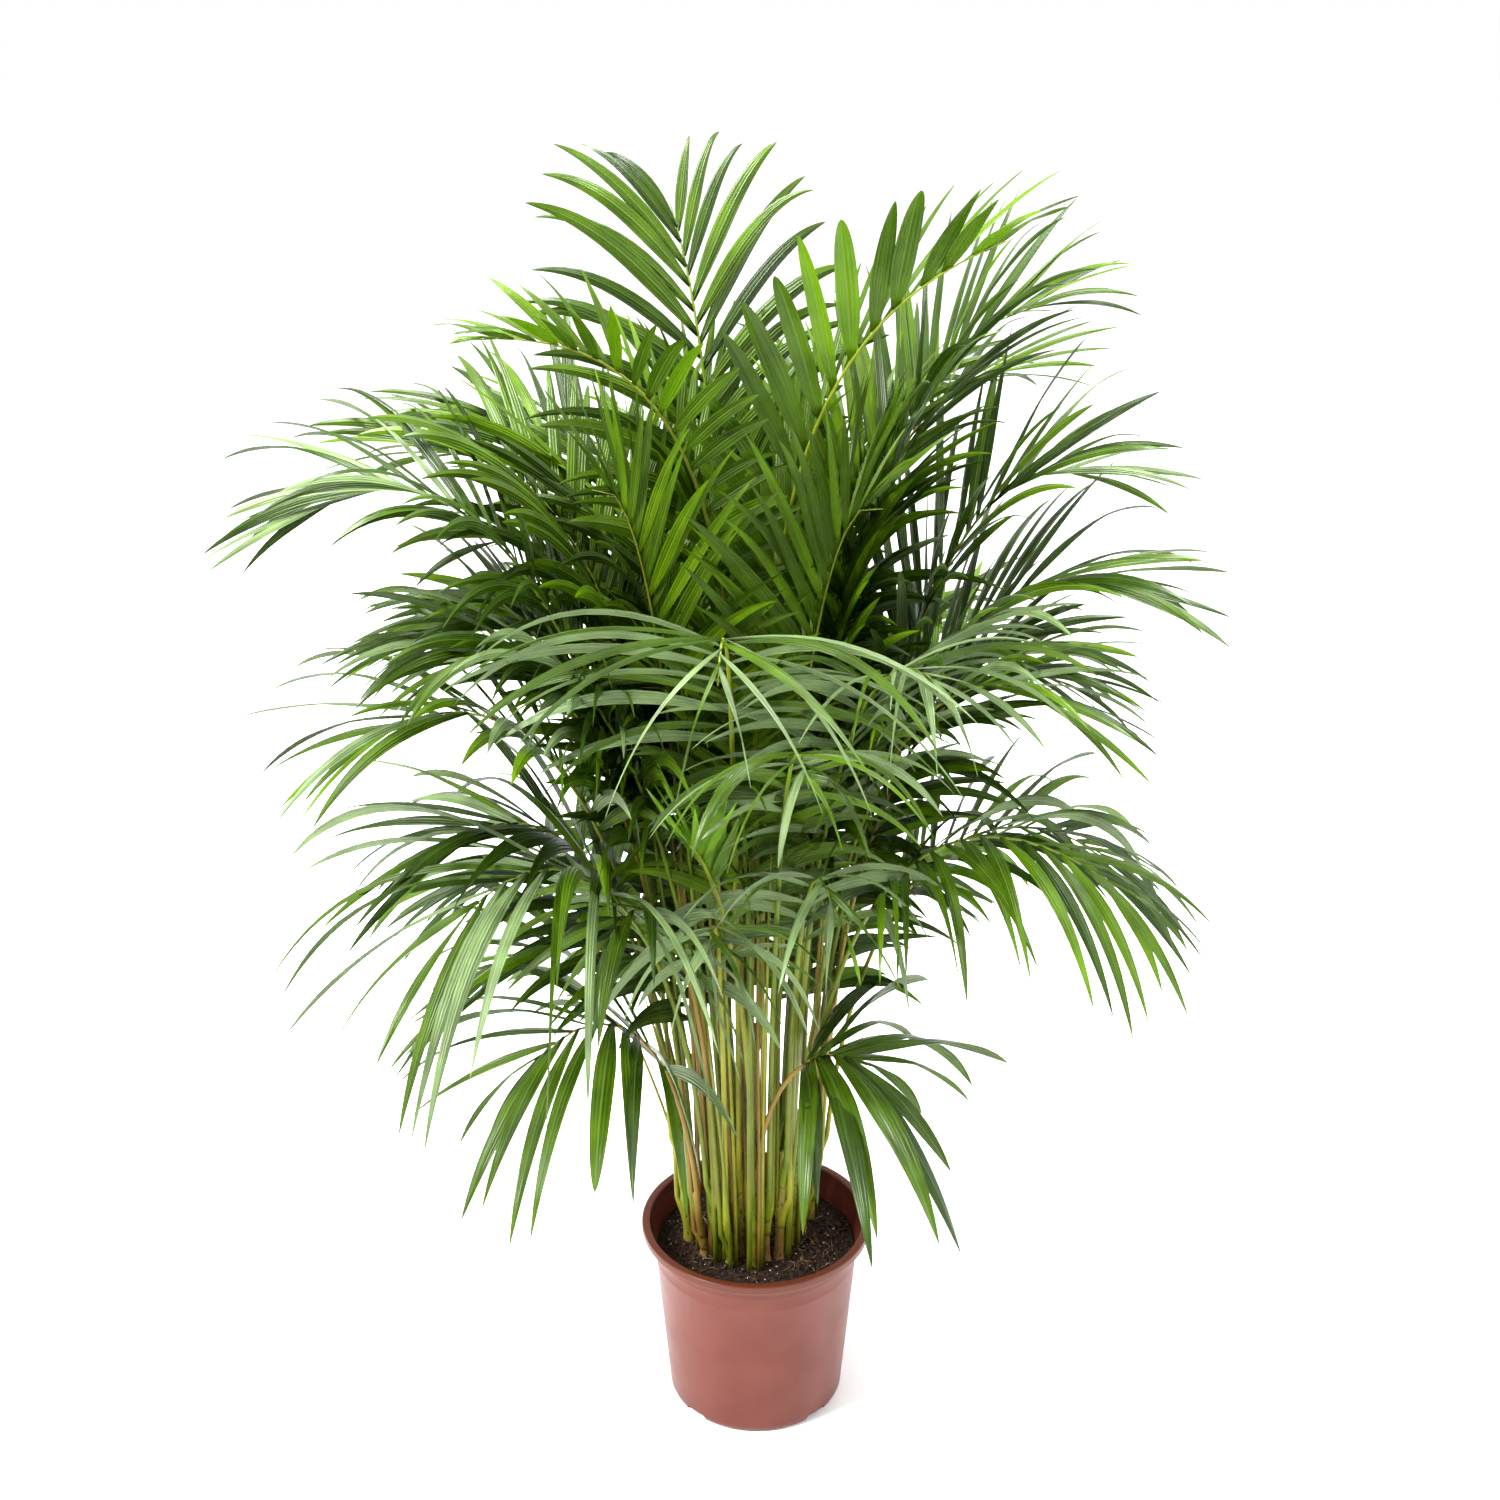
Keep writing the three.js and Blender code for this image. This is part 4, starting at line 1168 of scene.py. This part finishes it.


# %% [markdown]
# Leaf skin lets light through. Seen against the light it glows yellow-green, and seen with the light it
# is deeper, with a grey sheen on its upper side. A translucent shader mixed into the main one gives the
# glow.
# Some tints also carry painted light in their colour: painted shade on the darkest, a painted sunlit
# glow on the brightest and a painted sheen on the greyest. The blade's own map draws the lighter midrib
# and the fine veins beside it.

# %% Build the blades' pattern
def build_blade_pattern():
    """Colour and veins over a blade: a lighter midrib, fine lines along it and soft patches."""
    sockets = {"Blade": "Color", "Midrib": "Color"}
    group, given, result = start_group("blade_pattern", sockets, {"Colour": "Color", "Normal": "Vector"})
    place = add_node(group, "ShaderNodeUVMap", uv_map="blade").outputs[0]
    across, along = add_node(group, "ShaderNodeSeparateXYZ", {0: place}).outputs[:2]
    off = calculate(group, "ABSOLUTE", calculate(group, "SUBTRACT", across, 0.5))
    rib_line = ramp(group, off, 0.02, 0.06, 0.55, 0.0)
    veins = calculate(group, "SINE", calculate(group, "MULTIPLY", across, 75.0))
    pleats = calculate(group, "SINE", calculate(group, "MULTIPLY", across, 31.0))
    shade = ramp(group, speckle(group, 26.0, 2.0), 0.3, 0.7, 0.72, 1.28)
    lined = calculate(group, "ADD", shade, calculate(group, "MULTIPLY", pleats, 0.10))
    scaled = add_node(group, "ShaderNodeVectorMath", {0: given["Blade"], 1: lined}, operation="MULTIPLY")
    colour = mix_colours(group, rib_line, scaled.outputs[0], given["Midrib"])
    group.links.new(colour, result["Colour"])
    folds = calculate(group, "ADD", pleats, calculate(group, "MULTIPLY", veins, 0.2))
    flat_end = ramp(group, along, 0.35, 0.85, 1.0, 0.0)
    folds = calculate(group, "MULTIPLY", folds, flat_end)
    bump = add_node(group, "ShaderNodeBump", {"Height": folds, "Distance": 0.0004, "Strength": 0.7})
    group.links.new(bump.outputs[0], result["Normal"])
    return group


blade_pattern = build_blade_pattern()
print("pattern:", blade_pattern.name)

# %% Make the leaf skin
GLOW_SHARE = 0.38
LEAF_ROUGHNESS = 0.28
LEAF_GLOSS = 0.42


def leaf_finish(name, blade, midrib, glow):
    """Leaf skin that glows against the light."""
    finish, tree, shader = start_finish(name, LEAF_ROUGHNESS, LEAF_GLOSS)
    pattern = use_group(tree, blade_pattern, Blade=opaque(*blade), Midrib=opaque(*midrib))
    tree.links.new(pattern["Colour"], shader.inputs["Base Color"])
    tree.links.new(pattern["Normal"], shader.inputs["Normal"])
    through = add_node(tree, "ShaderNodeBsdfTranslucent", {"Color": opaque(*glow)})
    shaders = {0: GLOW_SHARE, 1: shader.outputs[0], 2: through.outputs[0]}
    both = add_node(tree, "ShaderNodeMixShader", shaders)
    tree.links.new(both.outputs[0], tree.nodes["Material Output"].inputs["Surface"])
    return finish


# %% Grow and finish every leaflet
# name: the blade, its midrib and its glow
TINTS = {
    # An older, darker green, with painted shade for fronds at the back and low down
    "deep": ((0.034, 0.074, 0.003), (0.09, 0.15, 0.02), (0.08, 0.17, 0.003)),
    "leaf": ((0.068, 0.136, 0.003), (0.16, 0.25, 0.04), (0.110, 0.22, 0.003)),
    # A yellower green with a painted sunlit glow in its base colour
    "bright": ((0.105, 0.200, 0.002), (0.18, 0.28, 0.03), (0.26, 0.44, 0.004)),
    # A grey green that is a painted sheen, as the upper sides of glossy blades would reflect it
    "pale": ((0.180, 0.270, 0.098), (0.36, 0.43, 0.25), (0.14, 0.23, 0.06)),
    "young": ((0.17, 0.34, 0.015), (0.28, 0.45, 0.05), (0.38, 0.62, 0.02)),
}
growth = {tint: [] for tint in TINTS}
for plan in plans:
    for tint, blade in grow_leaflets(plan):
        growth[str(tint)].append((plan.node, blade))
for tint, (blade, midrib, glow) in TINTS.items():
    nodes = sorted({node for node, _ in growth[tint]})
    mesh = join_blades(f"leaflets_{tint}", [one for _, one in growth[tint]])
    add_piece(f"leaflets_{tint}", mesh, leaf_finish(f"leaf_{tint}", blade, midrib, glow), nodes)
    print(tint, "leaflets:", len(growth[tint]))
